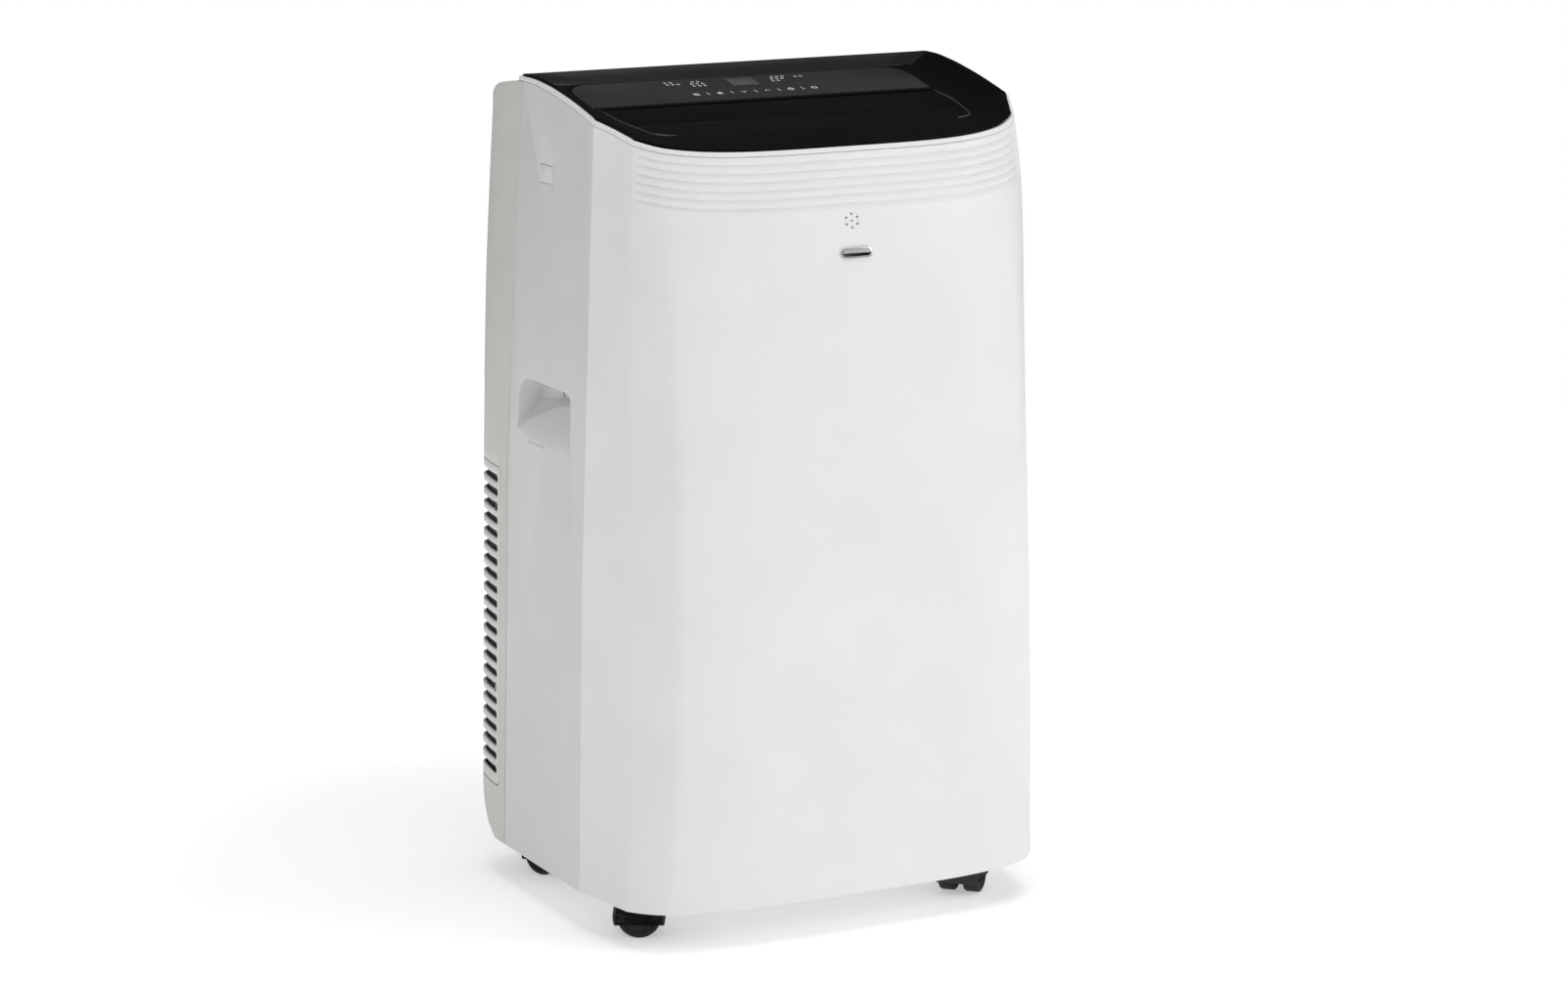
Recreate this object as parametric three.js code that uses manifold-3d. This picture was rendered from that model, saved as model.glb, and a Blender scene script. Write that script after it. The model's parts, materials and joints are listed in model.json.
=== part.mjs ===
// A portable room air conditioner that stands on four twin-wheel casters.
// Millimetres, +Z up, front towards -Y, origin on the floor under the middle of the casing.
import * as THREE from "three";
import { mergeVertices } from "three/addons/utils/BufferGeometryUtils.js";
import Module from "manifold-3d";

const wasm = await Module();
wasm.setup();

// ---------------------------------------------------------------- driving dimensions
const HALF_WIDTH = 222; // casing half width at the skirt
const SKIRT_Z = 36; // lower edge of the casing above the floor
const SIDE_DRAFT = 0.0197; // the sides lean in by this much per mm of height
const WALL = 3; // moulded covers
const SEAM = 0.25; // half the gap between neighbouring covers
const BEND_Y = 112; // the flat sides end here and bend gently inwards
const BEND_R = 280; // radius of that bend
const REAR_CORNER_R = 22; // radius of the corner that follows it
const CREST_Y = 78; // rear edge of the black top
const RIM_BACK_Y = 84; // rear edge of the white rim round the black top
const FLANGE = 1.8; // thickness of the black top at its outer edge
const RIM_DEPTH = 6.2; // lower line of the white rim under the black top's edge
const COVER_DROP = 6.5; // upper edge of the casing covers under the black top's edge

// Side-view lines of the casing: [height, y]
const FRONT_LINE = [[36, -179], [84, -187.5], [200, -195], [310, -194], [530, -181], [690, -159],
  [770, -138]];
const REAR_LINE = [[36, 150], [50, 175], [80, 191], [200, 193.5], [400, 195], [553, 188], [645, 176],
  [728, 164]];
const CREASE_LINE = [[36, -134], [84, -132], [330, -128], [600, -127], [725, -120], [770, -112]];
const FRONT_SEAM = [[20, -61], [321, -61], [499, -68], [800, -80]];
const REAR_SEAM = [[20, 108], [400, 105], [653, 89], [800, 70]];

// Side-view line of the black top's outer edge, then of the casing's roof behind it: [y, height]
const TOP_EDGE = [[-160, 714], [-150, 716.5], [-138, 720], [-118, 728], [-87, 738.5], [-56, 746.5],
  [-15, 755], [28, 761.5], [60, 764], [84, 764]];
const ROOF_LINE = [[84, 757.5], [117, 753], [135, 749], [148, 741], [156, 730], [170, 700], [230, 600]];

// The dished top: its floor on the centre line, [y, height]
const DISH_LINE = [[-180, 710], [-150, 717], [-123, 722.6], [-68, 729.8], [5, 739.5], [66.5, 752.6],
  [76, 764], [100, 764]];
const DISH_SLOPE = 0.132; // rise per mm towards the rear of the outlet area
const DISH_ZERO = 738.8; // height of that plane at y = 0
const STRIP_SLOPE = 0.213; // rise per mm of the control strip

// Air outlet and its flap
const DOOR_X = 168;
const DOOR_FRONT = -65.9;
const DOOR_BACK = -6.8;
const DOOR_THICK = 3;
const HINGE_Y = -8.3;
const HINGE_DROP = 2.2; // hinge axis under the flap's upper face
const PIN_R = 1.2;

// Vanes under the flap
const VANE_COUNT = 6;
const VANE_PITCH = 52;
const VANE_Y = -38;
const CRANK_Y = -52;
const DUCT_BOTTOM = 684;

// Casters
const WHEEL_R = 20;
const WHEEL_WIDE = 14.5;
const WHEEL_IN = 4.75; // inner face of each wheel from the caster's middle plane
const CASTER_TRAIL = 17;
const CASTERS = [
  { name: "front_left", x: -160, y: -98, heading: 153 },
  { name: "front_right", x: 160, y: -98, heading: 226 },
  { name: "rear_left", x: -160, y: 104, heading: 115 },
  { name: "rear_right", x: 160, y: 104, heading: 75 },
];

// ---------------------------------------------------------------- finishes
const finish = (color, roughness, metalness) => () =>
  new THREE.MeshStandardMaterial({ color, roughness, metalness });
const whitePlastic = finish(0xe9eaeb, 0.42, 0);
const greyPlastic = finish(0xc9c9c6, 0.5, 0);
const blackSatin = finish(0x1b1c1e, 0.38, 0);
const blackGloss = finish(0x101113, 0.12, 0);
const darkGlass = finish(0x2b2e31, 0.08, 0);
const casterBlack = finish(0x151515, 0.5, 0);
const foamBlack = finish(0x26282a, 0.9, 0);
const zincSteel = finish(0xb9bcc0, 0.4, 1);
const paintedBlack = finish(0x1d1f21, 0.35, 0.2);
const aluminiumFin = finish(0xc7cbd0, 0.35, 1);
const copper = finish(0xb9703f, 0.3, 1);
const boardGreen = finish(0x1f5a3a, 0.6, 0);
const badgeSilver = finish(0xb4b7bb, 0.25, 1);

// ---------------------------------------------------------------- small tools
// A smooth value through knots [[t, v], ...], with flat-limited slopes so it never overshoots.
function along(knots, t) {
  const n = knots.length;
  if (t <= knots[0][0]) return knots[0][1];
  if (t >= knots[n - 1][0]) return knots[n - 1][1];
  const i = knots.findIndex((k) => k[0] > t) - 1;
  const chord = (j) => (knots[j + 1][1] - knots[j][1]) / (knots[j + 1][0] - knots[j][0]);
  const slope = (j) => {
    if (j === 0) return chord(0);
    if (j === n - 1) return chord(n - 2);
    const a = chord(j - 1);
    const b = chord(j);
    return a * b <= 0 ? 0 : (2 * a * b) / (a + b);
  };
  const width = knots[i + 1][0] - knots[i][0];
  const s = (t - knots[i][0]) / width;
  const h00 = (1 + 2 * s) * (1 - s) ** 2;
  const h10 = s * (1 - s) ** 2;
  const h01 = s * s * (3 - 2 * s);
  const h11 = s * s * (s - 1);
  return h00 * knots[i][1] + h10 * width * slope(i) + h01 * knots[i + 1][1] + h11 * width * slope(i + 1);
}

// The straight-line value through knots [[t, v], ...].
function straight(knots, t) {
  const i = Math.max(1, knots.findIndex((k) => k[0] >= t));
  const [t0, v0] = knots[i - 1];
  const [t1, v1] = knots[i];
  return v0 + ((v1 - v0) * (t - t0)) / (t1 - t0);
}

// A closed three.js geometry as a manifold solid.
function solid(geometry) {
  const plain = geometry.clone();
  plain.deleteAttribute("normal");
  plain.deleteAttribute("uv");
  const merged = mergeVertices(plain, 1e-4);
  return new wasm.Manifold(
    new wasm.Mesh({
      numProp: 3,
      vertProperties: new Float32Array(merged.attributes.position.array),
      triVerts: new Uint32Array(merged.index.array),
    }),
  );
}

// A manifold solid as a three.js geometry.
function geometryOf(body) {
  const mesh = body.getMesh();
  const geometry = new THREE.BufferGeometry();
  geometry.setAttribute("position", new THREE.BufferAttribute(new Float32Array(mesh.vertProperties), 3));
  geometry.setIndex(new THREE.BufferAttribute(new Uint32Array(mesh.triVerts), 1));
  geometry.computeVertexNormals();
  return geometry;
}

const grown = ([low, high], by) => [low - by, high + by];
const unite = (...bodies) => bodies.reduce((sum, body) => sum.add(body));

function box([x0, x1], [y0, y1], [z0, z1]) {
  const geometry = new THREE.BoxGeometry(x1 - x0, y1 - y0, z1 - z0);
  geometry.translate((x0 + x1) / 2, (y0 + y1) / 2, (z0 + z1) / 2);
  return solid(geometry);
}

// Turns a geometry whose own axis is Y so that the axis is the named one, then moves it.
function orient(geometry, axis, at) {
  if (axis === "z") geometry.rotateX(Math.PI / 2);
  if (axis === "x") geometry.rotateZ(-Math.PI / 2);
  return geometry.translate(...at);
}

function cylinder(radius, length, axis, at, sides = 20) {
  return solid(orient(new THREE.CylinderGeometry(radius, radius, length, sides), axis, at));
}

// A turned piece: profile of [radius, height along the axis] that starts and ends on the axis.
function turned(profile, axis, at, sides = 24) {
  const points = profile.map(([r, h]) => new THREE.Vector2(r, h));
  return solid(orient(new THREE.LatheGeometry(points, sides), axis, at));
}

const outline = (points) => new THREE.Shape(points.map(([a, b]) => new THREE.Vector2(a, b)));

// A prism whose section [x, y] is drawn looking down, between two heights.
function prismZ(points, z0, z1) {
  const geometry = new THREE.ExtrudeGeometry(outline(points), { depth: z1 - z0, bevelEnabled: false });
  return solid(geometry.translate(0, 0, z0));
}

// A prism whose section is [y, z], between two x positions.
function prismX(points, x0, x1) {
  const geometry = new THREE.ExtrudeGeometry(outline(points), { depth: x1 - x0, bevelEnabled: false });
  geometry.applyMatrix4(new THREE.Matrix4().set(0, 0, 1, x0, 1, 0, 0, 0, 0, 1, 0, 0, 0, 0, 0, 1));
  return solid(geometry);
}

// A prism whose section is [x, z], between two y positions.
function prismY(points, y0, y1) {
  const geometry = new THREE.ExtrudeGeometry(outline(points), { depth: y1 - y0, bevelEnabled: false });
  return solid(geometry.rotateX(Math.PI / 2).translate(0, y1, 0));
}

// A closed skin through rings of equal length, each ring running counter-clockwise seen from above. It can be
// turned into place afterwards.
function loft(rings, place = (geometry) => geometry) {
  const count = rings[0].length;
  const positions = rings.flat(2);
  const index = [];
  rings.slice(1).forEach((_, level) => {
    for (let i = 0; i < count; i++) {
      const a = level * count + i;
      const b = level * count + ((i + 1) % count);
      index.push(a, b, b + count, a, b + count, a + count);
    }
  });
  const cap = (level, up) => {
    const ring = rings[level];
    const middle = [0, 1, 2].map((k) => ring.reduce((sum, p) => sum + p[k], 0) / count);
    const centre = positions.length / 3;
    positions.push(...middle);
    for (let i = 0; i < count; i++) {
      const a = level * count + i;
      const b = level * count + ((i + 1) % count);
      index.push(...(up ? [a, b, centre] : [b, a, centre]));
    }
  };
  cap(0, false);
  cap(rings.length - 1, true);
  const geometry = new THREE.BufferGeometry();
  geometry.setAttribute("position", new THREE.Float32BufferAttribute(positions, 3));
  geometry.setIndex(index);
  return solid(place(geometry));
}

// A round bar or pipe along a smooth route.
function pipe(route, radius, steps, sides = 8) {
  const path = new THREE.CatmullRomCurve3(route.map((p) => new THREE.Vector3(...p)));
  const ring = Array.from({ length: sides }, (_, i) => [
    radius * Math.cos((2 * Math.PI * i) / sides),
    radius * Math.sin((2 * Math.PI * i) / sides),
  ]);
  return solid(new THREE.ExtrudeGeometry(outline(ring), { extrudePath: path, steps, bevelEnabled: false }));
}

// A rectangle [x, y] with rounded corners, radii given for front and rear corners.
function roundedRectangle([x0, x1], [y0, y1], front, rear, steps = 4) {
  const corners = [[x1 - front, y0 + front, front, -90], [x1 - rear, y1 - rear, rear, 0],
    [x0 + rear, y1 - rear, rear, 90], [x0 + front, y0 + front, front, 180]];
  return corners.flatMap(([cx, cy, r, start]) =>
    Array.from({ length: steps + 1 }, (_, i) => {
      const angle = ((start + (90 * i) / steps) * Math.PI) / 180;
      return [cx + r * Math.cos(angle), cy + r * Math.sin(angle)];
    }));
}

const root = new THREE.Group();
const radians = THREE.MathUtils.degToRad;

function add(name, body, material, parent = root) {
  const mesh = new THREE.Mesh(geometryOf(body), material());
  mesh.name = name;
  parent.add(mesh);
  return mesh;
}

// ---------------------------------------------------------------- the casing's skin
const halfWidth = (z) => HALF_WIDTH - SIDE_DRAFT * (z - SKIRT_Z);

// The right half of the plan outline at height z, from the front centre round to the rear centre.
function halfPlan(z) {
  const w = halfWidth(z);
  const front = along(FRONT_LINE, z);
  const rear = along(REAR_LINE, z);
  const crownX = w - 47;
  const crown = [0.34, 0.6, 0.8, 0.92].map((t) => [crownX * t, front + 16 * t ** 4]);
  const start = [crownX, front + 16];
  const pull = [w - 30, front + 22];
  const crease = [w - 14, along(CREASE_LINE, z)];
  const corner = [0, 0.33, 0.66, 1].map((t) => [0, 1].map((k) =>
    (1 - t) ** 2 * start[k] + 2 * t * (1 - t) * pull[k] + t * t * crease[k]));
  const turn = Math.asin((rear - REAR_CORNER_R - BEND_Y) / (BEND_R - REAR_CORNER_R));
  const centre = [w - (BEND_R - REAR_CORNER_R) * (1 - Math.cos(turn)) - REAR_CORNER_R, rear - REAR_CORNER_R];
  const rearCorner = [0, 0.5, 1].map((t) => {
    const angle = THREE.MathUtils.lerp(turn, Math.PI / 2, t);
    return [centre[0] + REAR_CORNER_R * Math.cos(angle), centre[1] + REAR_CORNER_R * Math.sin(angle)];
  });
  return [[0, front], ...crown, ...corner, [w, along(FRONT_SEAM, z)], [w, BEND_Y], ...rearCorner, [0, rear]];
}

// The whole plan outline at height z, moved in by inset.
function plan(z, inset) {
  const right = halfPlan(z);
  const left = right.slice(1, -1).reverse().map(([x, y]) => [-x, y]);
  const ring = [...right, ...left];
  return ring.map(([x, y], i) => {
    const [ax, ay] = ring[(i + ring.length - 1) % ring.length];
    const [bx, by] = ring[(i + 1) % ring.length];
    const before = Math.hypot(x - ax, y - ay);
    const after = Math.hypot(bx - x, by - y);
    const nx = (y - ay) / before + (by - y) / after;
    const ny = -(x - ax) / before - (bx - x) / after;
    const scale = (2 * inset) / (nx * nx + ny * ny);
    return [x - nx * scale, y - ny * scale, z];
  });
}

const LEVELS = [36, 50, 80, 200, 310, 420, 530, 640, 710, 770];
const skin = (inset, levels = LEVELS) => loft(levels.map((z) => plan(z, inset)));

// Everything on the -Y side of a side-view line, moved back by shift.
function frontOf(line, shift) {
  const edge = line.map(([z, y]) => [y + shift, z]);
  return prismX([[-400, 20], ...edge, [-400, 800]], -300, 300);
}

// Everything under a side-view line of [y, height], lowered by drop.
function under(line, drop) {
  const edge = [...line].reverse().map(([y, z]) => [y, z - drop]);
  const ends = [[400, edge[0][1]], [-400, edge[edge.length - 1][1]]];
  return prismX([[-400, 0], [400, 0], ends[0], ...edge, ends[1]], -300, 300);
}

// Points of a smooth line at the given positions.
const sampled = (line, places) => places.map((t) => [t, along(line, t)]);
const EDGE_PLACES = [-160, -144, -128, -108, -87, -56, -30, 0, 28, 55, 84];
const edgeLine = sampled(TOP_EDGE, EDGE_PLACES);
const roofLine = sampled(ROOF_LINE, [84.3, 100, 117, 130, 141, 148, 156, 170, 230]);
const coverLine = [...edgeLine.map(([y, z]) => [y, z - COVER_DROP]), ...roofLine];

const inFront = (y) => box([-300, 300], [-400, y], [0, 900]);
const belowCovers = under(coverLine, 0);
const roofUnderside = under([[-390, 1000], [RIM_BACK_Y + 0.4, 1000],
  ...roofLine.map(([y, z]) => [y + 0.3, z - WALL])], 0);
const shell = skin(0).intersect(belowCovers).subtract(
  skin(WALL, [20, ...LEVELS, 800]).intersect(roofUnderside));

const frontRegion = frontOf(FRONT_SEAM, -SEAM);
const sideRegion = frontOf(REAR_SEAM, -SEAM).subtract(frontOf(FRONT_SEAM, SEAM));
const aheadOfRearCover = frontOf(REAR_SEAM, SEAM);
const leftSide = box([-300, 0], [-400, 400], [0, 900]);
const rightSide = box([0, 300], [-400, 400], [0, 900]);

// ---------------------------------------------------------------- front cover, badge and receiver
const SIGNAL_Z = 649; // middle of the ring of small holes the remote's signal and the beeper pass through
const SIGNAL_RING = 6;
const HOLE_R = 1;
// y of the faceted front at height z on the centre line
const frontAt = (z) => straight(LEVELS.map((level) => [level, along(FRONT_LINE, level)]), z);

const signalHoles = [[0, 0], ...[0, 1, 2, 3, 4, 5].map((i) => [
  SIGNAL_RING * Math.sin((i * Math.PI) / 3), SIGNAL_RING * Math.cos((i * Math.PI) / 3)])]
  .map(([x, z]) => cylinder(HOLE_R, 20, "y", [x, frontAt(SIGNAL_Z), SIGNAL_Z + z], 6));
const frontCover = shell.intersect(frontRegion).subtract(unite(...signalHoles));
add("front_cover", frontCover, whitePlastic);
add("ir_receiver", box([-9, 9], [-157, -150], [640, 658]), blackGloss);

const BADGE_Z = 621;
const badgeFrame = new THREE.Group();
badgeFrame.position.set(2, frontAt(BADGE_Z), BADGE_Z);
badgeFrame.rotation.x = -Math.atan2(frontAt(630) - frontAt(600), 30);
root.add(badgeFrame);
add("badge", prismY(roundedRectangle([-15.5, 15.5], [-5, 5], 5, 5), -1.1, -0.3), badgeSilver, badgeFrame);

// ---------------------------------------------------------------- side panels with handle recesses
const HANDLE_Y = [-33.5, 81];
const HANDLE_Z = [439.5, 489];
const HANDLE_DEPTH = 24.5;
const HANDLE_WALL = 2.5;
const HANDLE_RAMP = 0.38; // depth gained per mm of height on the outer ramp
// Height of the crease between the outer and the inner ramp, and of the inner ramp's upper edge, at depth y
const creaseHeight = (y) => 472 - 32 * ((Math.max(y, -5) + 5) / 86) ** 1.6;
const pocketFloor = (y) => 464.5 + 0.172 * (HANDLE_Y[1] - y);
const CAP_Y = [9, 35];
const CAP_Z = [672, 688];
const CAP_THICK = 1.5;

// The recess of one side (1 right, -1 left), grown outwards by the given amount.
function handleSpace(side, grow) {
  const [front, rear] = grown(HANDLE_Y, grow);
  const top = HANDLE_Z[1] + grow;
  const arc = (cy, cz, r, start) => [0, 1, 2, 3].map((i) => {
    const angle = radians(start + 30 * i);
    return [cy + r * Math.cos(angle), cz + r * Math.sin(angle)];
  });
  const face = prismX([[front, 400], [rear, 400], ...arc(rear - 21, top - 21, 21, 0),
    ...arc(front + 9, top - 9, 9, 90)], -400, 400);
  const rings = [90, 81, 58, 36, 14, -10, -45].map((y) => {
    const at = THREE.MathUtils.clamp(y, ...HANDLE_Y);
    const low = HANDLE_Z[0] - grow;
    const crease = creaseHeight(at);
    const bottom = [[20, low - 20 * HANDLE_RAMP], [0, low]];
    const fold = [-HANDLE_RAMP * (crease - HANDLE_Z[0]) - grow, crease];
    const points = [...bottom, fold, [-HANDLE_DEPTH - grow, pocketFloor(at)],
      [-HANDLE_DEPTH - grow, top], [20, top]];
    const ring = points.map(([out, z]) => [side * (halfWidth(z) + out), z, -y]);
    return side > 0 ? ring.reverse() : ring;
  });
  const ramp = loft(rings, (geometry) => geometry.rotateX(Math.PI / 2));
  return face.intersect(ramp);
}

// A box fixed to the leaning side wall: y and z ranges, and how deep it goes in from the face.
function onSideWall(side, [y0, y1], [z0, z1], [deep, proud]) {
  const middle = (z0 + z1) / 2;
  const geometry = new THREE.BoxGeometry(deep + proud, y1 - y0, z1 - z0);
  geometry.translate((proud - deep) / 2, 0, 0);
  geometry.rotateY(-Math.atan(SIDE_DRAFT));
  geometry.translate(halfWidth(middle), (y0 + y1) / 2, middle);
  if (side < 0) geometry.rotateZ(Math.PI).translate(0, y0 + y1, 0);
  return solid(geometry);
}

for (const [side, name, half] of [[-1, "left", leftSide], [1, "right", rightSide]]) {
  const wall = shell.intersect(half).intersect(sideRegion);
  const cup = handleSpace(side, HANDLE_WALL).intersect(skin(0));
  const capSeat = onSideWall(side, grown(CAP_Y, 0.4), grown(CAP_Z, 0.4), [CAP_THICK + 0.3, 5]);
  add(name + "_side_panel", wall.add(cup).subtract(handleSpace(side, 0)).subtract(capSeat), whitePlastic);
  add(name + "_side_cap", onSideWall(side, CAP_Y, CAP_Z, [CAP_THICK, 0.1]), whitePlastic);
}

// ---------------------------------------------------------------- rear cover and its grilles
const GRILLE_Z = [88, 394.5];
const GRILLE_Y = 123;
const SLOT_COUNT = 22;
const SLOT_START = 99; // lower edge of the lowest slot
const SLOT_PITCH = 13.3;
const SLOT_HIGH = 7;
const UPPER_X = 150;
const UPPER_Z = [578, 712];
const UPPER_SLOTS = 9;
const EXHAUST_Z = 482;
const EXHAUST_R = 70; // bore of the collar the exhaust hose plugs into
const COLLAR_WALL = 6;
const REAR_FACE = 195;
const FILTER_X = 140;
const FILTER_Y = [141, 146];
const DRAINS = [{ name: "lower_drain_cap", x: -60, z: 68 }, { name: "upper_drain_cap", x: 130, z: 414 }];
const DRAIN_R = 11;
const GLAND = { x: 150, z: 68, radius: 9 };

const rearSpan = (y0) => [y0, 400];
const lowerOpening = box([-300, 300], rearSpan(GRILLE_Y), GRILLE_Z);
const upperOpening = box([-UPPER_X, UPPER_X], rearSpan(100), UPPER_Z);
const rearHoles = unite(
  cylinder(EXHAUST_R + COLLAR_WALL + 0.4, 80, "y", [0, 180, EXHAUST_Z], 28),
  ...DRAINS.map(({ x, z }) => cylinder(DRAIN_R + 0.4, 60, "y", [x, 180, z], 16)),
  cylinder(GLAND.radius + 0.4, 60, "y", [GLAND.x, 180, GLAND.z], 16),
  box([-FILTER_X - 1, FILTER_X + 1], [FILTER_Y[0] - 1, FILTER_Y[1] + 1], [725, 780]),
);
add("rear_cover", shell.subtract(aheadOfRearCover).subtract(lowerOpening).subtract(upperOpening)
  .subtract(rearHoles), whitePlastic);

// The wrap-round lower grille: a frame with long slots, held together by upright bars behind the ribs.
const lowerField = box([-300, 300], rearSpan(GRILLE_Y + 0.5), grown(GRILLE_Z, -0.5));
const slotFloors = Array.from({ length: SLOT_COUNT }, (_, i) => SLOT_START + SLOT_PITCH * i);
const LOUVRE_SPAN = [slotFloors[0], slotFloors[SLOT_COUNT - 1] + SLOT_HIGH];
const lowerBars = [-110, 0, 110].map((x) => box([x - 3, x + 3], [184, 191.5], [92, 390]));
const lowerFrame = shell.intersect(lowerField).subtract(box([-300, 300], rearSpan(130), LOUVRE_SPAN));
const lowerRibs = slotFloors.slice(1).map((z) => {
  const rib = [z - SLOT_PITCH + SLOT_HIGH, z];
  const middle = (rib[0] + rib[1]) / 2;
  const outer = prismZ(plan(middle, 0.1), ...rib);
  const inner = prismZ(plan(middle, WALL - 0.1), ...grown(rib, 1));
  return outer.subtract(inner).intersect(box([-300, 300], rearSpan(129.5), rib));
});
add("lower_grille", unite(lowerFrame, ...lowerRibs, ...lowerBars), greyPlastic);

// The flat upper grille in front of the air filter.
const upperField = box(grown([-UPPER_X, UPPER_X], -0.5), rearSpan(100), grown(UPPER_Z, -0.5));
const upperSlots = Array.from({ length: UPPER_SLOTS }, (_, i) => {
  const z = 589 + 13 * i;
  return box([-UPPER_X + 10, UPPER_X - 10], rearSpan(100), [z, z + SLOT_HIGH]);
});
const upperBars = [-50, 50].map((x) => skin(WALL - 0.5).subtract(skin(WALL + 3))
  .intersect(box([x - 3, x + 3], rearSpan(100), grown(UPPER_Z, -1))));
const upperRibs = shell.intersect(upperField).subtract(unite(...upperSlots));
add("upper_grille", upperRibs.add(unite(...upperBars)), greyPlastic);

// Air filter: a frame with two panes of mesh that slides up through the slot in the roof.
const PANES = [[-130, -6], [6, 130]];
const filterPanes = PANES.map((x) => box(x, [FILTER_Y[0] - 1, 142.6], [588, 730]));
const filterRelief = PANES.map((x) => box(x, [144.4, FILTER_Y[1] + 1], [588, 730]));
add("air_filter", box([-FILTER_X, FILTER_X], FILTER_Y, [577, 748])
  .subtract(unite(...filterPanes, ...filterRelief)), foamBlack);

add("exhaust_collar", turned([[EXHAUST_R, 0], [EXHAUST_R + COLLAR_WALL, 0], [EXHAUST_R + COLLAR_WALL, 33],
  [EXHAUST_R, 33], [EXHAUST_R, 0]], "y", [0, REAR_FACE - 33, EXHAUST_Z], 28), greyPlastic);

for (const { name, x, z } of DRAINS) {
  const back = name === "upper_drain_cap" ? REAR_FACE - 0.5 : 191;
  const grip = box([x - 7, x + 7], [back - 3, back], [z - 1.5, z + 1.5]);
  add(name, cylinder(DRAIN_R, 5, "y", [x, back - 5, z], 16).add(grip), greyPlastic);
}
add("cord_gland", turned([[4.5, 0], [GLAND.radius, 0], [GLAND.radius, 9], [7, 12], [4.5, 12], [4.5, 0]],
  "y", [GLAND.x, 180, GLAND.z], 16), casterBlack);

// ---------------------------------------------------------------- rim and black top
const rimBand = under(edgeLine, FLANGE + 0.3).subtract(under(edgeLine, RIM_DEPTH));
const RIM_WIDTH = 6;
add("top_rim", skin(0).intersect(rimBand).intersect(inFront(RIM_BACK_Y))
  .subtract(skin(RIM_WIDTH, [20, ...LEVELS, 800]).intersect(inFront(CREST_Y))), whitePlastic);

// Half width of the plan outline at height z and depth y, moved in by inset.
function reachAt(y, z, inset) {
  const ring = plan(z, inset);
  const crossing = ring.map(([x0, y0], i) => {
    const [x1, y1] = ring[(i + 1) % ring.length];
    const spans = (y0 - y) * (y1 - y) <= 0 && y0 !== y1;
    return spans ? Math.abs(x0 + ((x1 - x0) * (y - y0)) / (y1 - y0)) : 0;
  });
  return Math.max(...crossing);
}

// Half width of the dish floor at depth y: straight beside the outlet, drawn in round its front corners.
const FLOOR_HALF = [[-180, 50], [-150, 80], [-137, 105], [-123, 128], [-108, 147], [-87, 166], [-68, 173],
  [100, 173]];
const DISH_ROWS = [-170, -148, -137, -123, -108, -87, -68, 5, 35, 66.5, 76, 95];

// Everything above the dished top, raised by lift.
function aboveTop(lift) {
  const across = DISH_ROWS.map((y) => {
    const floor = straight(FLOOR_HALF, y);
    const edge = Math.max(reachAt(y, 725, RIM_WIDTH + 1), floor + 10);
    const dish = straight(DISH_LINE, y);
    const outer = along(TOP_EDGE, y);
    const middle = [(floor + edge) / 2, THREE.MathUtils.lerp(dish, outer, 0.36)];
    return [[floor, dish], middle, [edge, outer], [235 + edge / 10, outer]];
  });
  const rows = across.map((row, j) => [...row].reverse().map(([x, z]) => [-x, DISH_ROWS[j], z])
    .concat(row.map(([x, z]) => [x, DISH_ROWS[j], z])));
  const wide = rows[0].length;
  const deep = rows.length;
  const floorPoints = rows.flat().map(([x, y, z]) => [x, y, z + lift]);
  const positions = [...floorPoints, ...floorPoints.map(([x, y]) => [x, y, 830])].flat();
  const upper = wide * deep;
  const index = [];
  const quad = (a, b, c, d) => index.push(a, b, c, a, c, d);
  for (let j = 0; j < deep - 1; j++) {
    for (let i = 0; i < wide - 1; i++) {
      const a = j * wide + i;
      quad(a, a + wide, a + wide + 1, a + 1);
      quad(a + upper, a + 1 + upper, a + wide + 1 + upper, a + wide + upper);
    }
  }
  const rim = [
    ...Array.from({ length: wide }, (_, i) => i),
    ...Array.from({ length: deep - 1 }, (_, j) => (j + 2) * wide - 1),
    ...Array.from({ length: wide - 1 }, (_, i) => upper - 2 - i),
    ...Array.from({ length: deep - 2 }, (_, j) => (deep - 2 - j) * wide),
  ];
  rim.forEach((a, i) => {
    const b = rim[(i + 1) % rim.length];
    quad(a, b, b + upper, a + upper);
  });
  const geometry = new THREE.BufferGeometry();
  geometry.setAttribute("position", new THREE.Float32BufferAttribute(positions, 3));
  geometry.setIndex(index);
  return solid(geometry);
}

const TOP_THICK = 4.5;
const STRIP_HALF = 172;
const STRIP_DEEP = 62; // front to rear along its own slope
const STRIP_THICK = 2;
const dishAt = (y) => DISH_ZERO + DISH_SLOPE * y;
const hingeZ = dishAt(HINGE_Y) - HINGE_DROP;

const stripFrame = new THREE.Group();
stripFrame.position.set(0, 5, 739.5);
stripFrame.rotation.x = Math.atan(STRIP_SLOPE);
root.add(stripFrame);
stripFrame.updateMatrixWorld(true);
const stripOutline = (grow) =>
  roundedRectangle(grown([-STRIP_HALF, STRIP_HALF], grow), grown([-1.5, STRIP_DEEP], grow), 2, 24);
const recessShape = outline(stripOutline(0.4));
const recessBlock = new THREE.ExtrudeGeometry(recessShape, { depth: 30, bevelEnabled: false })
  .translate(0, 0, -STRIP_THICK - 0.3)
  .applyMatrix4(stripFrame.matrixWorld);

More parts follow.
